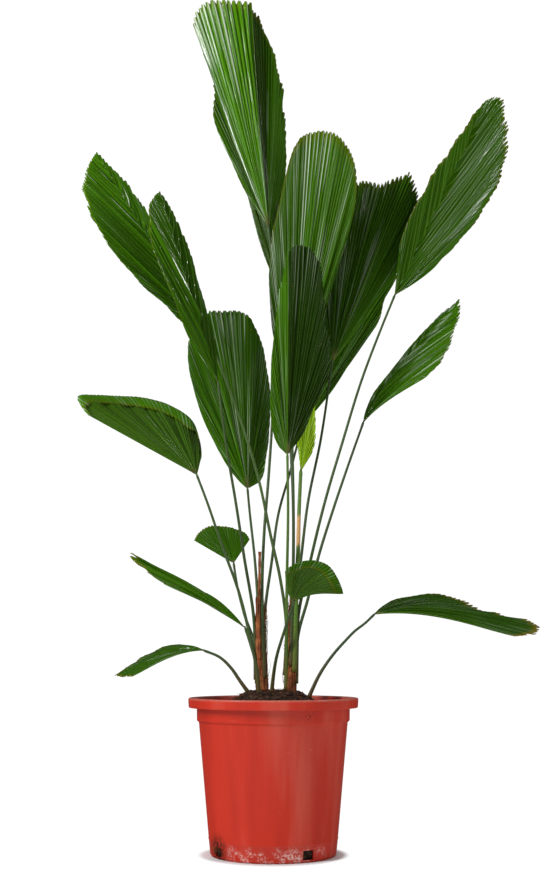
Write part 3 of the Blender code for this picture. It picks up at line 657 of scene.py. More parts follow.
def finish_mesh(name, places, faces, marks=None, materials=(), smooth=True):
    """An object from arrays of places and faces; marks become the UV map, point by point."""
    mesh = bpy.data.meshes.new(name)
    mesh.from_pydata(places.tolist(), [], faces if isinstance(faces, list) else faces.tolist())
    if marks is not None:
        layer = mesh.uv_layers.new(name="UVMap")
        corner = np.empty(len(mesh.loops), dtype=np.int32)
        mesh.loops.foreach_get("vertex_index", corner)
        layer.data.foreach_set("uv", marks[corner].astype(np.float32).ravel())
    mesh.polygons.foreach_set("use_smooth", np.full(len(mesh.polygons), smooth))
    for material in materials:
        mesh.materials.append(material)
    mesh.update()
    made = bpy.data.objects.new(name, mesh)
    bpy.context.scene.collection.objects.link(made)
    return made


def capped_tube(name, grid, marks, materials):
    """A closed tube: the rings' quads and a fan of triangles over each end."""
    sides, rings = grid.shape[:2]
    faces = grid_faces(sides, rings, closed=True)
    places = np.concatenate([grid.reshape(-1, 3), grid[:, 0].mean(0)[None], grid[:, -1].mean(0)[None]])
    marks = np.concatenate([marks.reshape(-1, 2), marks[0, :1], marks[0, -1:]])
    first = np.arange(sides) * rings
    after = np.roll(first, -1)
    low = np.stack([after, first, np.full(sides, sides * rings)], -1)
    high = np.stack([first + rings - 1, after + rings - 1, np.full(sides, sides * rings + 1)], -1)
    everything = faces.tolist() + low.tolist() + high.tolist()
    return finish_mesh(name, places, everything, marks, materials)


def add_attribute(piece, name, value):
    """A number for the whole piece, or one for each point, kept on its points."""
    layer = piece.data.attributes.new(name, "FLOAT", "POINT")
    values = np.broadcast_to(np.float32(value), len(piece.data.vertices))
    layer.data.foreach_set("value", np.ascontiguousarray(values, dtype=np.float32))


def rgba(colour):
    """A colour, or its hex code, as a socket's four values."""
    return (*(hex_colour(colour) if isinstance(colour, str) else colour), 1.0)


def blended(low, high, share):
    """The colour this share of the way from low to high; a negative share goes the other way."""
    return tuple(a + (b - a) * share for a, b in zip(rgba(low)[:3], rgba(high)[:3]))


def fill(node, inputs):
    """Sets a node's inputs; each is a value, or a socket to link from."""
    for key, value in inputs.items():
        if isinstance(value, bpy.types.NodeSocket):
            node.id_data.links.new(value, node.inputs[key])
        else:
            node.inputs[key].default_value = value


def add(tree, kind, inputs=None, out=0, stops=(), **settings):
    """Adds a shader node with its inputs, settings and colour stops, each (place, colour).

    Gives back its output of that number or name, or the node itself if it has no outputs."""
    made = tree.nodes.new(f"ShaderNode{kind}")
    for key, value in settings.items():
        setattr(made, key, value)
    fill(made, inputs or {})
    if stops:
        points = made.color_ramp.elements
        while len(points) < len(stops):
            points.new(0.5)
        for point, (place, colour) in zip(points, stops):
            point.position = place
            point.color = rgba(colour)
    return made.outputs[out] if made.outputs else made


def laid_over(make, base, *layers):
    """A base colour with layers of paint over it, each a colour and the shares whose product is how
    much of what lies below it covers."""
    for colour, share, *more in layers:
        for factor in more:
            share = make("Math", {0: share, 1: factor}, operation="MULTIPLY")
        base = make("Mix", {0: share, 6: base, 7: rgba(colour)}, 2, data_type="RGBA")
    return base


def new_finish(name):
    """A new material, what adds a node to it, its shader, and its places in space and on the UV map."""
    material = bpy.data.materials.new(name)
    material.use_nodes = True
    tree = material.node_tree
    make = partial(add, tree)
    return material, make, tree.nodes["Principled BSDF"], make("TexCoord").node.outputs


def leaf_finish(name, settings, under=False, young=False, dull=False):
    """Living palm leaf: a waxy skin over pleated green tissue with fine parallel veins.

    The waxy skin gives broad white glints on the pleats; a dull leaf's is worn and hardly shines.
    Pale silver streaks on one side of some pleats, in patches, are painted highlight, and the pleats'
    valleys are darkened as painted shade.  The tone between deep and bright green is partly painted
    light and shade.  Real veins lie closer than 1 mm, too fine to show, so they are drawn coarser,
    1.8 mm apart.  On the UV map one unit is a pleat across and the whole blade along."""
    material, make, shader, place = new_finish(name)
    spot, flat = place["Object"], place["UV"]
    tone_and_shade, dry, valley_shade_share, painted_glint = (make("Attribute", out="Fac", attribute_name=kept)
                              for kept in ("tone_and_shade", "dry", "valley_shade_share", "painted_glint"))
    pleat = make("SeparateXYZ", {0: flat})
    out = pleat.node.outputs["Y"]
    # The third noise places the patches of painted highlight
    streak, fine, painted_glint_cloud = (
        make("TexNoise", {"Scale": 1.0, "Detail": detail, "Vector": make("Mapping", {
            "Vector": flat, "Scale": (PLEAT_WIDTH / (wide * MM), BLADE_LENGTH / (long * MM), 1.0)})})
        for wide, long, detail in ((1.8, 240, 4.0), (1.8, 210, 3.0), (30, 224, 2.0)))
    cloud = make("TexNoise", {"Vector": spot, "Scale": 1 / (110 * MM), "Detail": 3.0})
    fleck = make("TexNoise", {"Vector": spot, "Scale": 1 / (4 * MM), "Detail": 2.0})
    veins = make("Math", {0: pleat, 1: PLEAT_WIDTH / (1.8 * MM)}, operation="MULTIPLY")
    vein = make("Math", {0: veins, 1: 0.5}, operation="PINGPONG")
    vein_line = make("ValToRGB", {0: vein}, stops=((0.0, WHITE), (0.12, BLACK)))
    rib = make("Math", {0: pleat, 1: 0.5}, operation="PINGPONG")
    rib_line = make("ValToRGB", {0: rib}, stops=((0.0, WHITE), (0.07, BLACK)))
    # Painted shade: the pleats' valleys are darkened
    painted_valley_shade = make("ValToRGB", {0: rib}, stops=((0.34, BLACK), (0.48, WHITE)))
    # Painted highlight: pale silver streaks along one side of the pleats, in patches, stand in for the
    # lamps' glints
    facet = make("Math", {0: pleat}, operation="FRACT")
    painted_glint_side = make("ValToRGB", {0: facet},
                    stops=((0.03, BLACK), (0.1, WHITE), (0.22, WHITE), (0.34, BLACK)))
    patch = make("ValToRGB", {0: painted_glint_cloud}, stops=((0.49, BLACK), (0.6, WHITE)))
    painted_glint_streaks = make("ValToRGB", {0: streak}, stops=((0.4, BLACK), (0.52, WHITE)))
    edge = make("ValToRGB", {0: out}, stops=((0.955, BLACK), (0.995, WHITE)))
    spots = make("ValToRGB", {0: fleck}, stops=((0.735, BLACK), (0.76, WHITE)))
    heel = make("ValToRGB", {0: out}, stops=((0.0, WHITE), (0.07, BLACK)))
    low, high = settings.deep, settings.bright
    if young:
        low, high = settings.young, blended(settings.young, BLACK, -0.35)
    elif under:
        low, high = settings.under, blended(settings.under, BLACK, -0.25)
    pale = blended(high, "#95AE59", 0.55)
    cloudy = make("Mix", {0: 0.35, 2: tone_and_shade, 3: cloud})
    level = make("Mix", {0: 0.3, 2: cloudy, 3: streak})
    colour = laid_over(make, rgba(low), (high, level), (pale, vein_line, 0.16), (pale, rib_line, 0.3),
                       # Painted shade in the pleats' valleys, weaker on the lower face
                       (BLACK, painted_valley_shade, valley_shade_share, 0.3 if under else 0.85),
                       # Painted highlight streaks in pale silver green
                       ("#CFDCC6", patch, painted_glint_side, painted_glint_streaks, painted_glint, 0.2 if young or under else 0.95),
                       (settings.dry, edge, dry), (settings.dry, spots, 0.5), ("#6B6A3A", heel))
    smooth, worn = (0.2, 0.3) if under or dull else (0.05, 0.14)
    rough = make("MapRange", {0: streak, 1: 0.35, 2: 0.65, 3: smooth, 4: worn})
    relief = make("Math", {0: vein_line, 1: 0.35, 2: fine}, operation="MULTIPLY_ADD")
    bump = make("Bump", {"Height": relief, "Strength": 0.25, "Distance": 0.4 * MM})
    fill(shader, {"Base Color": colour, "Roughness": rough, "Normal": bump, "IOR": 1.22 if dull else 1.5,
                  "Subsurface Weight": 0.06, "Subsurface Radius": (2 * MM, 4 * MM, 1 * MM),
                  "Subsurface Scale": 0.5})
    return material


def stalk_finish(settings):
    """Living palm stalk: smooth grey-green skin, browned by its sheath near the foot.

    Its ridges are finer than 1 mm in life, and are drawn 1 mm wide.  On the UV map one unit is once
    round the stalk, and a metre along it."""
    material, make, shader, place = new_finish("living_palm_stalk")
    spot, flat = place["Object"], place["UV"]
    along = make("SeparateXYZ", {0: flat}, "Y")
    stretched = make("Mapping", {"Vector": flat, "Scale": (STALK_ROUND / (1 * MM), 1 / (111 * MM), 1.0)})
    grain = make("TexNoise", {"Vector": stretched, "Scale": 1.0, "Detail": 5.0})
    patch = make("TexNoise", {"Vector": spot, "Scale": 1 / (28 * MM), "Detail": 3.0})
    tone_and_shade, wrap = (make("Attribute", out="Fac", attribute_name=kept) for kept in ("tone_and_shade", "dry"))
    brown = make("ValToRGB", {0: along},
                 stops=((0.0, (0.7,) * 3), (30 * MM, (0.35,) * 3), (80 * MM, BLACK)))
    colour = laid_over(make, rgba(settings.stalk), ("#6E9A2A", tone_and_shade), ("#2E3D22", grain),
                       ("#6E4A2A", brown, patch, 1.7), ("#C79A62", wrap))
    bump = make("Bump", {"Height": grain, "Strength": 0.5, "Distance": 0.4 * MM})
    fill(shader, {"Base Color": colour, "Normal": bump, "Roughness": 0.42})
    return material


def fibre_finish(colour):
    """Dry palm sheath fibre: matt brown strands, some bleached to straw.

    Single strands are thinner than 1 mm, so the pattern shows bundles of them, 2.4 mm across."""
    material, make, shader, place = new_finish("dry_palm_fibre")
    spot = place["Object"]
    upright = (1 / (2.4 * MM), 1 / (2.4 * MM), 1 / (36 * MM))
    grain = make("TexNoise", {"Vector": make("Mapping", {"Vector": spot, "Scale": upright}),
                              "Scale": 1.0, "Detail": 4.0})
    patch = make("TexNoise", {"Vector": spot, "Scale": 1 / (17 * MM), "Detail": 3.0})
    mixed = make("Mix", {0: 0.5, 2: grain, 3: patch})
    tone = make("ValToRGB", {0: mixed},
                stops=((0.34, blended(colour, BLACK, 0.82)), (0.5, tuple(colour)), (0.66, "#B4713F")))
    bump = make("Bump", {"Height": grain, "Strength": 0.9, "Distance": 1 * MM})
    fill(shader, {"Base Color": tone, "Normal": bump, "Roughness": 0.88})
    return material


def soil_finish(colour):
    """Damp potting compost: near black, with brown fibres and a few pale specks."""
    material, make, shader, place = new_finish("damp_potting_compost")
    spot = place["Object"]
    lump = make("TexNoise", {"Vector": spot, "Scale": 1 / (8 * MM), "Detail": 6.0})
    speck = make("TexNoise", {"Vector": spot, "Scale": 1 / (2 * MM), "Detail": 2.0})
    tone = make("ValToRGB", {0: lump},
                stops=((0.35, blended(colour, BLACK, 0.7)), (0.55, tuple(colour)), (0.72, "#5A4230")))
    specks = make("ValToRGB", {0: speck}, stops=((0.70, BLACK), (0.74, (0.6,) * 3)))
    bump = make("Bump", {"Height": lump, "Strength": 1.0, "Distance": 2 * MM})
    fill(shader, {"Base Color": laid_over(make, tone, ("#A08C74", specks)), "Normal": bump,
                  "Roughness": 0.92})
    return material


def pot_finish(settings):
    """Polypropylene, injection moulded: a soft satin skin, scuffed upright by handling.

    Hard water has dried to white lime between the drain windows, thickest low on the front, and the
    rim's top is painted a lighter red in patches.  Dust is finer in life, and is drawn as specks 1.6 mm
    apart."""
    material, make, shader, place = new_finish("moulded_polypropylene")
    spot = place["Object"]
    axes = make("SeparateXYZ", {0: spot}).node.outputs
    upright = (1 / (38 * MM), 1 / (38 * MM), 1 / (500 * MM))
    sweep = make("TexNoise", {"Vector": make("Mapping", {"Vector": spot, "Scale": upright}),
                              "Scale": 1.0, "Detail": 3.0})
    scuff_place = make("Mapping", {"Vector": spot, "Rotation": (0.2, 0.35, 0.0),
                                   "Scale": (1 / (11 * MM), 1 / (11 * MM), 1 / (2.4 * MM))})
    scuff = make("TexNoise", {"Vector": scuff_place, "Scale": 1.0, "Detail": 5.0})
    dust = make("TexNoise", {"Vector": spot, "Scale": 1 / (1.6 * MM), "Detail": 2.0})
    wash = make("TexNoise", {"Vector": spot, "Scale": 1 / (17 * MM), "Detail": 6.0, "Roughness": 0.7})
    grit = make("TexNoise", {"Vector": spot, "Scale": 1 / (3 * MM), "Detail": 3.0})
    tone = make("ValToRGB", {0: sweep}, stops=(
        (0.3, blended(settings.plastic, BLACK, 0.14)), (0.5, tuple(settings.plastic)),
        (0.7, blended(settings.plastic, "#D8806A", 0.2))))
    scuffed = make("ValToRGB", {0: scuff}, stops=((0.70, BLACK), (0.78, (0.35,) * 3)))
    specks = make("ValToRGB", {0: dust}, stops=((0.73, BLACK), (0.77, (0.55,) * 3)))
    wet = make("ValToRGB", {0: wash}, stops=((0.47, BLACK), (0.6, (0.8,) * 3)))
    gritty = make("ValToRGB", {0: grit}, stops=((0.42, BLACK), (0.6, WHITE)))
    dirty = make("ValToRGB", {0: grit}, stops=((0.4, BLACK), (0.55, WHITE)))
    low = make("MapRange", {0: axes["Z"], 1: 26 * MM, 2: 10 * MM, 3: 0.0, 4: 1.0})
    front = make("MapRange", {0: axes["Y"], 1: -50 * MM, 2: -80 * MM, 3: 0.12, 4: 1.0})
    # The rim's top is painted a lighter red, in patches
    worn = make("MapRange", {0: axes["Z"], 1: POT_HEIGHT - 3.5 * MM, 2: POT_HEIGHT - 0.5 * MM,
                             3: 0.0, 4: 0.9})
    away = make("VectorMath", {0: spot, 1: DIRTY_DRAIN}, "Value", operation="DISTANCE")
    near = make("MapRange", {0: away, 1: 30 * MM, 2: 12 * MM, 3: 0.0, 4: 1.0})
    colour = laid_over(make, tone, ("#D98E7C", scuffed), ("#5B1A12", specks),
                       (settings.lime, low, front, wet, gritty), ("#C08A7C", worn, wash),
                       ("#33190F", near, dirty))
    rough = make("MapRange", {0: wash, 3: 0.3, 4: 0.42})
    bump = make("Bump", {"Height": scuff, "Strength": 0.18, "Distance": 0.3 * MM})
    fill(shader, {"Base Color": colour, "Roughness": rough, "Normal": bump, "IOR": 1.49})
    return material


def paper_finish():
    """Matt white paper that takes the pot's soft shadow and runs out into the white of the studio."""
    material, make, shader, place = new_finish("matt_white_paper")
    spot = place["Object"]
    reach = make("VectorMath", {0: spot}, "Value", operation="LENGTH")
    away = make("MapRange", {0: reach, 1: 106 * MM, 2: 122 * MM}, interpolation_type="SMOOTHSTEP")
    white = make("Emission", {"Color": rgba(WHITE), "Strength": STUDIO_WHITE})
    mixed = make("MixShader", {0: away, 1: shader.outputs[0], 2: white})
    fill(material.node_tree.nodes["Material Output"], {"Surface": mixed})
    fill(shader, {"Base Color": rgba("#F0F1F3"), "Roughness": 0.9})
    return material


def many_lumps(places, sizes, seed):
    """Small uneven octahedra, joined: six jittered corners and eight faces round each place."""
    draw = np.random.default_rng(seed)
    corners = np.array([[1, 0, 0], [-1, 0, 0], [0, 1, 0], [0, -1, 0], [0, 0, 1], [0, 0, -1]], float)
    faces = np.array([[0, 2, 4], [2, 1, 4], [1, 3, 4], [3, 0, 4],
                      [2, 0, 5], [1, 2, 5], [3, 1, 5], [0, 3, 5]])
    spin = draw.uniform(0, FULL_TURN, len(places))[:, None]
    jitter = draw.uniform(0.6, 1.25, (len(places), 6, 1))
    x, y, z = np.moveaxis(corners * jitter * sizes[:, None, None], -1, 0)
    lumps = np.stack([x * np.cos(spin) - y * np.sin(spin), x * np.sin(spin) + y * np.cos(spin),
                      z * LUMP_FLATNESS], -1)
    first = 6 * np.arange(len(places))[:, None, None]
    return (places[:, None] + lumps).reshape(-1, 3), (faces + first).reshape(-1, 3)


def many_hairs(starts, ends, bends, radii, steps=6):
    """Thin three-sided tubes, joined: each follows a parabola from start to end through its bend, and
    thins to a quarter of its radius."""
    share = np.linspace(0, 1, steps)[None, :, None]
    path = starts[:, None] * (1 - share) + ends[:, None] * share + bends[:, None] * 4 * share * (1 - share)
    along = unit(np.gradient(path, axis=1))
    side = unit(np.cross(along, HAIR_SIDE))
    angle = np.linspace(0, FULL_TURN, 3, endpoint=False)[:, None]
    thin = radii[:, None, None, None] * (1.05 - share[:, :, None] * 0.8)
    ring = path[:, :, None] + thin * (np.cos(angle) * side[:, :, None]
                                      + np.sin(angle) * np.cross(along, side)[:, :, None])
    number = np.arange(steps * 3).reshape(steps, 3)
    after = np.roll(number, -1, axis=1)
    quads = np.stack([number[:-1], after[:-1], after[1:], number[1:]], -1).reshape(-1, 4)
    caps = np.stack([number[0, ::-1], number[-1]])
    first = steps * 3 * np.arange(len(starts))[:, None, None]
    faces = (quads + first).reshape(-1, 4).tolist() + (caps + first).reshape(-1, 3).tolist()
    return ring.reshape(-1, 3), faces


def heap_height(x, y):
    """The soil's top: the flat heap, its slope down to the wall, and 10 to 30 mm waves for lumps."""
    radius = np.hypot(x, y)
    keys = np.array([0, HEAP_TOP_RADIUS, SOIL_HEAP_RADIUS + 10 * MM, BODY_TOP_RADIUS])
    levels = np.array([SOIL_HEAP_HEIGHT, SOIL_HEAP_HEIGHT - 1 * MM, SOIL_EDGE_HEIGHT + 7 * MM,
                       SOIL_EDGE_HEIGHT])
    lumps = (np.sin(x * 210 + 1.3) * np.cos(y * 190 + 0.4) + 0.6 * np.sin(x * 430 + y * 380)
             + 0.5 * np.cos(y * 610 - x * 140))
    return np.interp(radius, keys, levels) + LUMP_HEIGHT * lumps


class FANPALM_OT_blades(bpy.types.Operator):
    """Make the pleated, toothed blades"""
    bl_idname = "fanpalm.blades"
    bl_label = "Blades"

    def execute(self, context):
        settings = context.scene.fan_palm_leaf
        upper = leaf_finish("waxy_palm_leaf_upper", settings)
        worn = leaf_finish("worn_palm_leaf_upper", settings, dull=True)
        lower = leaf_finish("waxy_palm_leaf_under", settings, under=True)
        fresh = leaf_finish("young_palm_leaf", settings, young=True)
        for seed, (name, leaf) in enumerate(LEAVES.items()):
            look = LOOKS[name]
            grid, marks = blade_surface(leaf, look, settings, seed)
            faces = grid_faces(*grid.shape[:2], closed=False)
            pair = (fresh, fresh) if name == "young" else (worn if "dull" in look else upper, lower)
            if "under" in look:
                pair = pair[::-1]
            piece = finish_mesh(f"leaf_{name}", grid.reshape(-1, 3), faces,
                                marks[..., :2].reshape(-1, 2), pair)
            # The leaf's tone, partly painted light and shade on its panels
            add_attribute(piece, "tone_and_shade", marks[..., 2].ravel())
            add_attribute(piece, "dry", look["dry"])
            # How strongly the pleats' valleys are painted dark as shade, by the leaf's pleat height
            add_attribute(piece, "valley_shade_share", look.get("pleat", 1.0))
            # How much painted highlight streaks the leaf
            add_attribute(piece, "painted_glint", look.get("painted_glint", 0.5))
            shell = piece.modifiers.new("thickness", "SOLIDIFY")
            shell.thickness = settings.thickness
            shell.offset = 0.0
            shell.material_offset = 1
            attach(piece, "root")
            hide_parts(f"blade_{name}")
        return {"FINISHED"}


class FANPALM_OT_stalks(bpy.types.Operator):
    """Make the stalks, with a clasping foot and a small heel where the blade begins"""
    bl_idname = "fanpalm.stalks"
    bl_label = "Stalks"

    def execute(self, context):
        finish = stalk_finish(context.scene.fan_palm_leaf)
        for name, leaf in LEAVES.items():
            places = stalk_start(leaf["base"], STALK_FOOT_RADIUS)
            places += [front_view_place(place) for place in reversed(leaf["route"])]
            heel = front_view_place(leaf["foot"])
            places += [heel, heel + STALK_SUNK * unit(heel - places[-1])]
            way = running_length(np.array(places))
            at = np.linspace(0, way[-1], max(8, round(way[-1] / STALK_STEP)))
            path = smooth_through(way, at, places)
            share = at / way[-1]
            radii = STALK_FOOT_RADIUS + (STALK_TIP_RADIUS - STALK_FOOT_RADIUS) * share
            radii = radii * (YOUNG_STALK if name == "young" else 1)
            clasp = 0.8 * MM * np.exp(-at / (30 * MM))
            bulge = 0.7 * MM * np.exp(-((at - way[-1]) / (7 * MM)) ** 2)
            radii = radii + clasp + bulge
            radii[-1] *= 0.45
            grid, marks = tube_surface(path, radii, STALK_RING, wobble=0.12)
            piece = capped_tube(f"petiole_{name}", grid, marks, (finish,))
            leaf_tone_and_shade = float(np.mean(LOOKS[name]["tone_and_shade"]))
            add_attribute(piece, "tone_and_shade", BRIGHT_STALKS.get(name, 0.1 + 0.3 * leaf_tone_and_shade))
            wrapped = np.abs(path[:, 2] - YOUNG_WRAP[0]) < YOUNG_WRAP[1]
            wrap = wrapped * (name == "young")
            add_attribute(piece, "dry", np.concatenate([np.tile(wrap, STALK_RING), [0, 0]]))
            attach(piece, "root")
            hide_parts(f"stalk_{name}")
        return {"FINISHED"}


class FANPALM_OT_stems(bpy.types.Operator):
    """Make the two stems in their fibrous sheaths, and the cut-off stalk"""
    bl_idname = "fanpalm.stems"
    bl_label = "Stems"

    def execute(self, context):
        settings = context.scene.fan_palm_pot
        finish = fibre_finish(settings.fibre)
        for seed, (side, spec) in enumerate(STEMS.items()):
            self.make_sheath(side, spec, finish, seed)
            self.make_hairs(side, spec, finish, settings.fibres, 40 + seed)
        self.make_stub(finish)
        return {"FINISHED"}

    def make_sheath(self, side, spec, finish, seed):
        """Rings up the stem whose radius is the stem's plus a sheath that thins upwards, with ridges
        from six waves round it, leaf scars that stand out at their upper edge, and a torn top."""
        draw = np.random.default_rng(seed)
        angle = np.linspace(0, FULL_TURN, 96, endpoint=False)[:, None]
        share = np.linspace(0, 1, 70)[None, :]
        torn = 1 - 0.16 * (0.5 + 0.5 * np.sin(3 * angle + seed)) * (0.5 + 0.5 * np.sin(7 * angle))
        climb = share * torn
        height = SOIL_HEAP_HEIGHT - STALK_SUNK + climb * (spec["height"] + STALK_SUNK)
        radius = STEM_FOOT_RADIUS + (STEM_TOP_RADIUS - STEM_FOOT_RADIUS) * climb
        radius = radius + SHEATH_EXTRA * np.clip(1 - climb * 1.15, 0, 1) ** 0.7
        waves = sum(np.sin(angle * n + climb * draw.uniform(-5, 5) + draw.uniform(0, 6)) / n**0.5
                    for n in (3, 5, 8, 13, 21, 34))
        radius = radius + 0.7 * MM * waves * (1 - 0.4 * climb)
        radius = radius + SHEATH_SCALE * ((climb * SHEATH_SCARS + 0.4 * np.sin(angle * 2)) % 1)
        x, y = ((low + (high - low) * climb) * MM for low, high in zip(spec["foot"], spec["top"]))
        grid = np.stack([x + radius * np.cos(angle), y + radius * np.sin(angle), height], -1)
        marks = np.stack(np.broadcast_arrays(angle / FULL_TURN, share), -1)
        piece = capped_tube(f"sheath_{side}", grid, marks, (finish,))
        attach(piece, "root")
        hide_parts(f"stem_{side}")

    def make_hairs(self, side, spec, finish, count, seed):
        """Hairs that start on the sheath and run up it, a few springing free."""
        draw = np.random.default_rng(seed)
        angle = draw.uniform(0, FULL_TURN, count)
        low = draw.uniform(0, 0.85, count)
        out = STEM_FOOT_RADIUS + SHEATH_EXTRA * np.clip(1 - low * 1.1, 0.1, 1) + 0.2 * MM
        middle = np.array([*spec["foot"], 0]) * MM
        height = SOIL_HEAP_HEIGHT + low * spec["height"]
        starts = middle + turned(out, angle, height)
        free = draw.uniform(-1, 1, count) ** 3
        swirl = angle + draw.normal(0, 0.35, count)
        rise = draw.uniform(10, 42, count) * MM
        reach = out + free * 5 * MM
        ends = middle + turned(reach, swirl, height + rise)
        bends = draw.normal(0, 1.4, (count, 3)) * MM
        places, faces = many_hairs(starts, ends, bends, draw.uniform(0.15, 0.42, count) * MM)
        piece = finish_mesh(f"fibres_{side}", places, faces, None, (finish,))
        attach(piece, "root")

    def make_stub(self, finish):
        """A tube up the stem to the cut, with a splayed, uneven end."""
        places = stalk_start(STUB["base"], STUB["radius"]) + [front_view_place(STUB["top"])]
        way = running_length(np.array(places))
        at = np.linspace(0, way[-1], 40)
        path = smooth_through(way, at, places)
        splay = 0.25 * np.exp(-((way[-1] - at) / (10 * MM)) ** 2)
        radii = STUB["radius"] * (1 + 0.12 * np.sin(FULL_TURN * at / (24.17 * MM)) + splay)
        grid, marks = tube_surface(path, radii, 14, wobble=0.3)
        piece = capped_tube("dry_stub", grid, marks, (finish,))
        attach(piece, "root")
        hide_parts("cut_stub")


class FANPALM_OT_soil(bpy.types.Operator):
    """Make the compost: its lumpy heap, crumbs and loose fibres"""
    bl_idname = "fanpalm.soil"
    bl_label = "Soil"

    def execute(self, context):
        settings = context.scene.fan_palm_pot
        finish = soil_finish(settings.soil)
        angle = np.linspace(0, FULL_TURN, 180, endpoint=False)[:, None]
        wall = BODY_TOP_RADIUS - POT_WALL - 1.2 * MM
        low_wall = BASE_RADIUS - POT_WALL - 0.6 * MM
        radius = np.concatenate([np.linspace(0.5 * MM, wall, 70), [wall, low_wall, low_wall, 1 * MM]])
        x, y = radius * np.cos(angle), radius * np.sin(angle)
        height = heap_height(x, y)
        height[:, -4:] = COLLAR_LOW, DRAIN_HIGH + 1 * MM, POT_WALL + 0.3 * MM, POT_WALL + 0.3 * MM
        grid = np.stack([x, y, height], -1)[:, ::-1]
        piece = capped_tube("compost", grid, np.zeros((*grid.shape[:2], 2)), (finish,))
        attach(piece, "root")
        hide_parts("soil")
        self.make_crumbs(settings, finish)
        self.make_litter(settings)
        return {"FINISHED"}

    def make_crumbs(self, settings, finish):
        """Crumbs scattered evenly over the heap, half sunk, and a few stuck to the collar."""
        draw = np.random.default_rng(7)
        radius = (BODY_TOP_RADIUS - 6 * MM) * np.sqrt(draw.uniform(0, 1, settings.crumbs))
        angle = draw.uniform(0, FULL_TURN, settings.crumbs)
        x, y = radius * np.cos(angle), radius * np.sin(angle)
        sizes = draw.uniform(0.6, 2.4, settings.crumbs) ** 1.3 * MM
        heap = np.stack([x, y, heap_height(x, y) + 0.3 * sizes], -1)
        aside, up = draw.normal(0, 3, (STUCK_CRUMBS, 2)).T
        turn = np.radians(STUCK_TURN + aside)
        stuck = turned(COLLAR_RADIUS, turn, STUCK_HEIGHT + up * MM)
        sizes = np.concatenate([sizes, draw.uniform(0.4, 1.1, STUCK_CRUMBS) * MM])
        places, faces = many_lumps(np.concatenate([heap, stuck]), sizes, 8)
        piece = finish_mesh("crumbs", places, faces, None, (finish,), smooth=False)
        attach(piece, "root")

    def make_litter(self, settings):
        """Loose fibres lying on the heap, most of them near the stems, and some caught in a drain."""
        draw = np.random.default_rng(9)
        count = LITTER_FIBRES
        radius = (SOIL_HEAP_RADIUS + 30 * MM) * draw.uniform(0.05, 1, count)
        angle = draw.uniform(0, FULL_TURN, count)
        heading = draw.uniform(0, FULL_TURN, count)
        size = draw.uniform(6, 24, count) * MM
        x, y = radius * np.cos(angle), radius * np.sin(angle)
        ex, ey = x + size * np.cos(heading), y + size * np.sin(heading)
        starts = np.stack([x, y, heap_height(x, y) + 1 * MM], -1)
        ends = np.stack([ex, ey, np.maximum(heap_height(ex, ey), SOIL_EDGE_HEIGHT) + 1.2 * MM], -1)
        bends = draw.normal(0, 1.6, (count, 3)) * MM
        bends[:, 2] = np.abs(bends[:, 2])
        caught = slice(DRAIN_FIBRES)
        drain = np.array(DIRTY_DRAIN) * (1.03, 1.03, 1)
        starts[caught] = drain + draw.normal(0, 3 * MM, (DRAIN_FIBRES, 3))
        ends[caught] = drain * (1.02, 1.02, 1) + draw.normal(0, 2 * MM, (DRAIN_FIBRES, 3)) * (3, 2, 2)
        for tips in (starts, ends):
            tips[caught, 2] = np.maximum(tips[caught, 2], 1 * MM)
        places, faces = many_hairs(starts, ends, bends, draw.uniform(0.2, 0.5, count) * MM)
        piece = finish_mesh("litter", places, faces, None, (fibre_finish(settings.fibre),))
        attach(piece, "root")


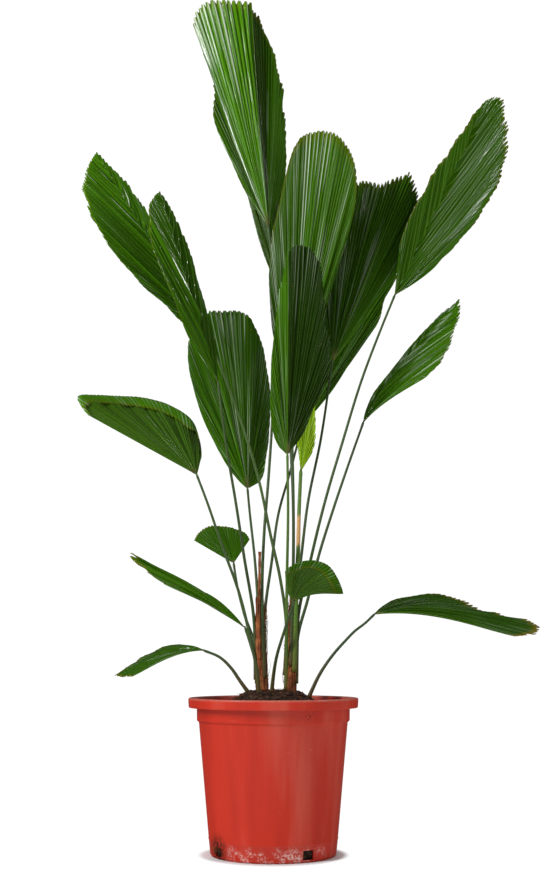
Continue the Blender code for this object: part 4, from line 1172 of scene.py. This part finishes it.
class FANPALM_OT_pot(bpy.types.Operator):
    """Make the moulded nursery pot with its rim, collar and drain windows"""
    bl_idname = "fanpalm.pot"
    bl_label = "Pot"

    def execute(self, context):
        settings = context.scene.fan_palm_pot
        profile = np.array(self.outline())
        angle = np.linspace(0, FULL_TURN, settings.turns, endpoint=False)[:, None]
        grid = turned(profile[:, 0], angle, profile[:, 1])
        unmarked = np.zeros((*grid.shape[:2], 2))
        piece = capped_tube("nursery_pot", grid, unmarked, (pot_finish(settings),))
        self.cut_windows(piece)
        piece.data.set_sharp_from_angle(angle=math.radians(32))
        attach(piece, "root")
        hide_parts("pot")
        return {"FINISHED"}

    def outline(self):
        """The turned outline: under the floor outwards, up the outside with rounded corners, and down
        the inside to the floor's middle."""
        top, rim_low = POT_HEIGHT, POT_HEIGHT - RIM_DEPTH
        quarter = np.linspace(0, math.pi / 2, 7)
        corner = [(BASE_RADIUS, 3.5 * math.sin(a) - 3.5, 0, 3.5 - 3.5 * math.cos(a)) for a in quarter]
        slope = (BODY_TOP_RADIUS - BASE_RADIUS) / COLLAR_LOW
        ridge = [(BASE_RADIUS, slope * up + bulge, 0, up)
                 for up, bulge in ((24, 0), (25.2, 0.5), (26.4, 0.5), (27.6, 0))]
        rim = [(RIM_RADIUS, 2 * math.cos(a) - 2, top, 2 * math.sin(a) - 2)
               for a in np.linspace(0, math.pi / 2, 6)]
        body, collar, floor = BODY_TOP_RADIUS, COLLAR_RADIUS, BASE_RADIUS - POT_WALL
        # Each place is a radius and millimetres out from it, then a height and millimetres up from it
        outline = [
            (0, 0.4, 0, 0), *corner, *ridge,
            (body, -0.3, COLLAR_LOW, -3), (body, 0, COLLAR_LOW, -1.6), (body, 1, COLLAR_LOW, -0.6),
            (collar, -1, COLLAR_LOW, 0.2), (collar, 0, COLLAR_LOW, 1.4), (collar, 0.4, rim_low, 0),
            (collar, 1, rim_low, 3), (RIM_RADIUS, -4, rim_low, 2), (RIM_RADIUS, -3.6, rim_low, 0.5),
            (RIM_RADIUS, -2.8, rim_low, 0), (RIM_RADIUS, -1.6, rim_low, 0), (RIM_RADIUS, -0.8, rim_low, 0.7),
            *rim, (collar, 1.5, top, 0), (collar, 0, top, -0.6), (collar, -1.6, top, -3),
            (collar - POT_WALL, 0, COLLAR_LOW, 2), (body - POT_WALL, 0, COLLAR_LOW, 0),
            (floor, 0, POT_WALL, 1), (floor, -1, POT_WALL, 0), (0, 0.4, POT_WALL, 0)]
        return [(radius + out * MM, height + up * MM) for radius, out, height, up in outline]

    def cut_windows(self, piece):
        """Cuts the drain windows through the wall, then bakes the cut into the mesh."""
        cutters = []
        for index in range(DRAIN_COUNT):
            angle = math.radians(DRAIN_TURN - 90 + index * 360 / DRAIN_COUNT)
            reach = (BASE_RADIUS - 12 * MM, BASE_RADIUS + 12 * MM)
            aside = (-DRAIN_WIDTH / 2, DRAIN_WIDTH / 2)
            box = np.meshgrid(reach, aside, (DRAIN_LOW, DRAIN_HIGH), indexing="ij")
            out, side, up = (values.ravel() for values in box)
            places = np.stack([out * math.cos(angle) - side * math.sin(angle),
                               out * math.sin(angle) + side * math.cos(angle), up], -1)
            faces = np.array([[0, 1, 3, 2], [4, 6, 7, 5], [0, 4, 5, 1],
                              [2, 3, 7, 6], [0, 2, 6, 4], [1, 5, 7, 3]])
            cutter = finish_mesh(f"window_cutter_{index}", places, faces)
            cut = piece.modifiers.new(f"window_{index}", "BOOLEAN")
            cut.operation = "DIFFERENCE"
            cut.object = cutter
            cutters.append(cutter)
        seen = piece.evaluated_get(bpy.context.evaluated_depsgraph_get())
        baked = bpy.data.meshes.new_from_object(seen)
        piece.modifiers.clear()
        piece.data = baked
        for cutter in cutters:
            bpy.data.objects.remove(cutter, do_unlink=True)


class FANPALM_OT_stage(bpy.types.Operator):
    """Make the pale floor, the soft studio light and the camera"""
    bl_idname = "fanpalm.stage"
    bl_label = "Stage"

    def execute(self, context):
        self.make_floor()
        self.make_light("key_softbox", (-1.9, -1.5, 1.9), (0, 0, 0.85), (0.35, 1.5), 70, glossy=False)
        self.make_light("glint_strip_left", (-2.1, -1.2, 1.9), (0, 0, 0.9), (0.14, 1.6), 34, diffuse=False)
        self.make_light("glint_strip_right", (2.3, -0.7, 1.8), (0, 0, 0.9), (0.08, 1.4), 12, diffuse=False)
        self.make_light("fill_softbox", (2.1, -1.2, 1.4), (0, 0, 0.8), (0.3, 1.5), 10, glossy=False)
        self.make_light("top_softbox", (0.2, 0.1, 3.2), (0, 0, 0.6), (1.6, 1.6), 26, glossy=False)
        self.make_light("back_softbox", (0.3, 2.6, 1.9), (0, 0, 0.9), (2.2, 1.6), 8, glossy=False)
        self.make_world(context.scene)
        self.make_camera(context.scene)
        context.scene.view_settings.view_transform = "Standard"
        return {"FINISHED"}

    def make_floor(self):
        """A wide disc: rings of points round the pot, just below its underside."""
        angle = np.linspace(0, FULL_TURN, 64, endpoint=False)[:, None]
        radius = np.array([0.01, 0.5, 2, 8, 40])[None]
        grid = turned(radius, angle, -0.2 * MM)
        faces = grid_faces(64, 5, closed=True)[:, ::-1]
        floor = finish_mesh("studio_floor", grid.reshape(-1, 3), faces, None, (paper_finish(),))
        floor.visible_glossy = False

    def make_light(self, name, place, aim, size, power, glossy=True, diffuse=True):
        """A rectangular softbox turned to its aim, which lights matt and shiny surfaces or one of them."""
        data = bpy.data.lights.new(name, "AREA")
        data.shape = "RECTANGLE"
        data.size, data.size_y = size
        data.energy = power
        lamp = bpy.data.objects.new(name, data)
        bpy.context.scene.collection.objects.link(lamp)
        lamp.visible_glossy = glossy
        lamp.visible_diffuse = diffuse
        away = np.array(place, float) - np.array(aim, float)
        lamp.location = place
        lamp.rotation_euler = (math.atan2(math.hypot(away[0], away[1]), away[2]), 0,
                               math.atan2(away[1], away[0]) + math.pi / 2)

    def make_world(self, scene):
        """White behind the plant, a softer white that lights it, and a dim one in its gloss."""
        world = bpy.data.worlds.new("studio")
        world.use_nodes = True
        scene.world = world
        tree = world.node_tree
        tree.nodes.clear()
        path = add(tree, "LightPath").node.outputs
        seen, felt, gloss = (add(tree, "Background", {"Color": rgba(WHITE), "Strength": strength})
                             for strength in (STUDIO_WHITE, 0.22, 0.04))
        soft = add(tree, "MixShader", {0: path["Is Glossy Ray"], 1: felt, 2: gloss})
        mixed = add(tree, "MixShader", {0: path["Is Camera Ray"], 1: soft, 2: seen})
        add(tree, "OutputWorld", {"Surface": mixed})

    def make_camera(self, scene):
        data = bpy.data.cameras.new("front_view")
        data.lens = VIEW_LENS
        camera = bpy.data.objects.new("front_view", data)
        scene.collection.objects.link(camera)
        camera.location = (VIEW_ASIDE, -VIEW_DISTANCE, VIEW_HEIGHT)
        camera.rotation_euler = (math.radians(90 + VIEW_TILT), 0, 0)
        scene.camera = camera


class FANPALM_PT_panel(bpy.types.Panel):
    bl_idname = "FANPALM_PT_panel"
    bl_label = "Ruffled Fan Palm"
    bl_space_type = "VIEW_3D"
    bl_region_type = "UI"
    bl_category = "Fan Palm"

    def draw(self, context):
        for settings in (context.scene.fan_palm_leaf, context.scene.fan_palm_pot):
            box = self.layout.box()
            for name in settings.__annotations__:
                box.prop(settings, name)
        for operator in OPERATORS:
            self.layout.operator(operator.bl_idname)


OPERATORS = (FANPALM_OT_stage, FANPALM_OT_pot, FANPALM_OT_soil, FANPALM_OT_stems, FANPALM_OT_stalks,
             FANPALM_OT_blades)
CLASSES = (FanPalmLeafSettings, FanPalmPotSettings, *OPERATORS, FANPALM_PT_panel)


def register():
    for item in CLASSES:
        bpy.utils.register_class(item)
    bpy.types.Scene.fan_palm_leaf = PointerProperty(type=FanPalmLeafSettings)
    bpy.types.Scene.fan_palm_pot = PointerProperty(type=FanPalmPotSettings)


def unregister():
    del bpy.types.Scene.fan_palm_pot
    del bpy.types.Scene.fan_palm_leaf
    for item in reversed(CLASSES):
        bpy.utils.unregister_class(item)


def main():
    register()
    bpy.ops.fanpalm.stage()
    bpy.ops.fanpalm.pot()
    bpy.ops.fanpalm.soil()
    bpy.ops.fanpalm.stems()
    bpy.ops.fanpalm.stalks()
    bpy.ops.fanpalm.blades()


if __name__ == "__main__":
    main()
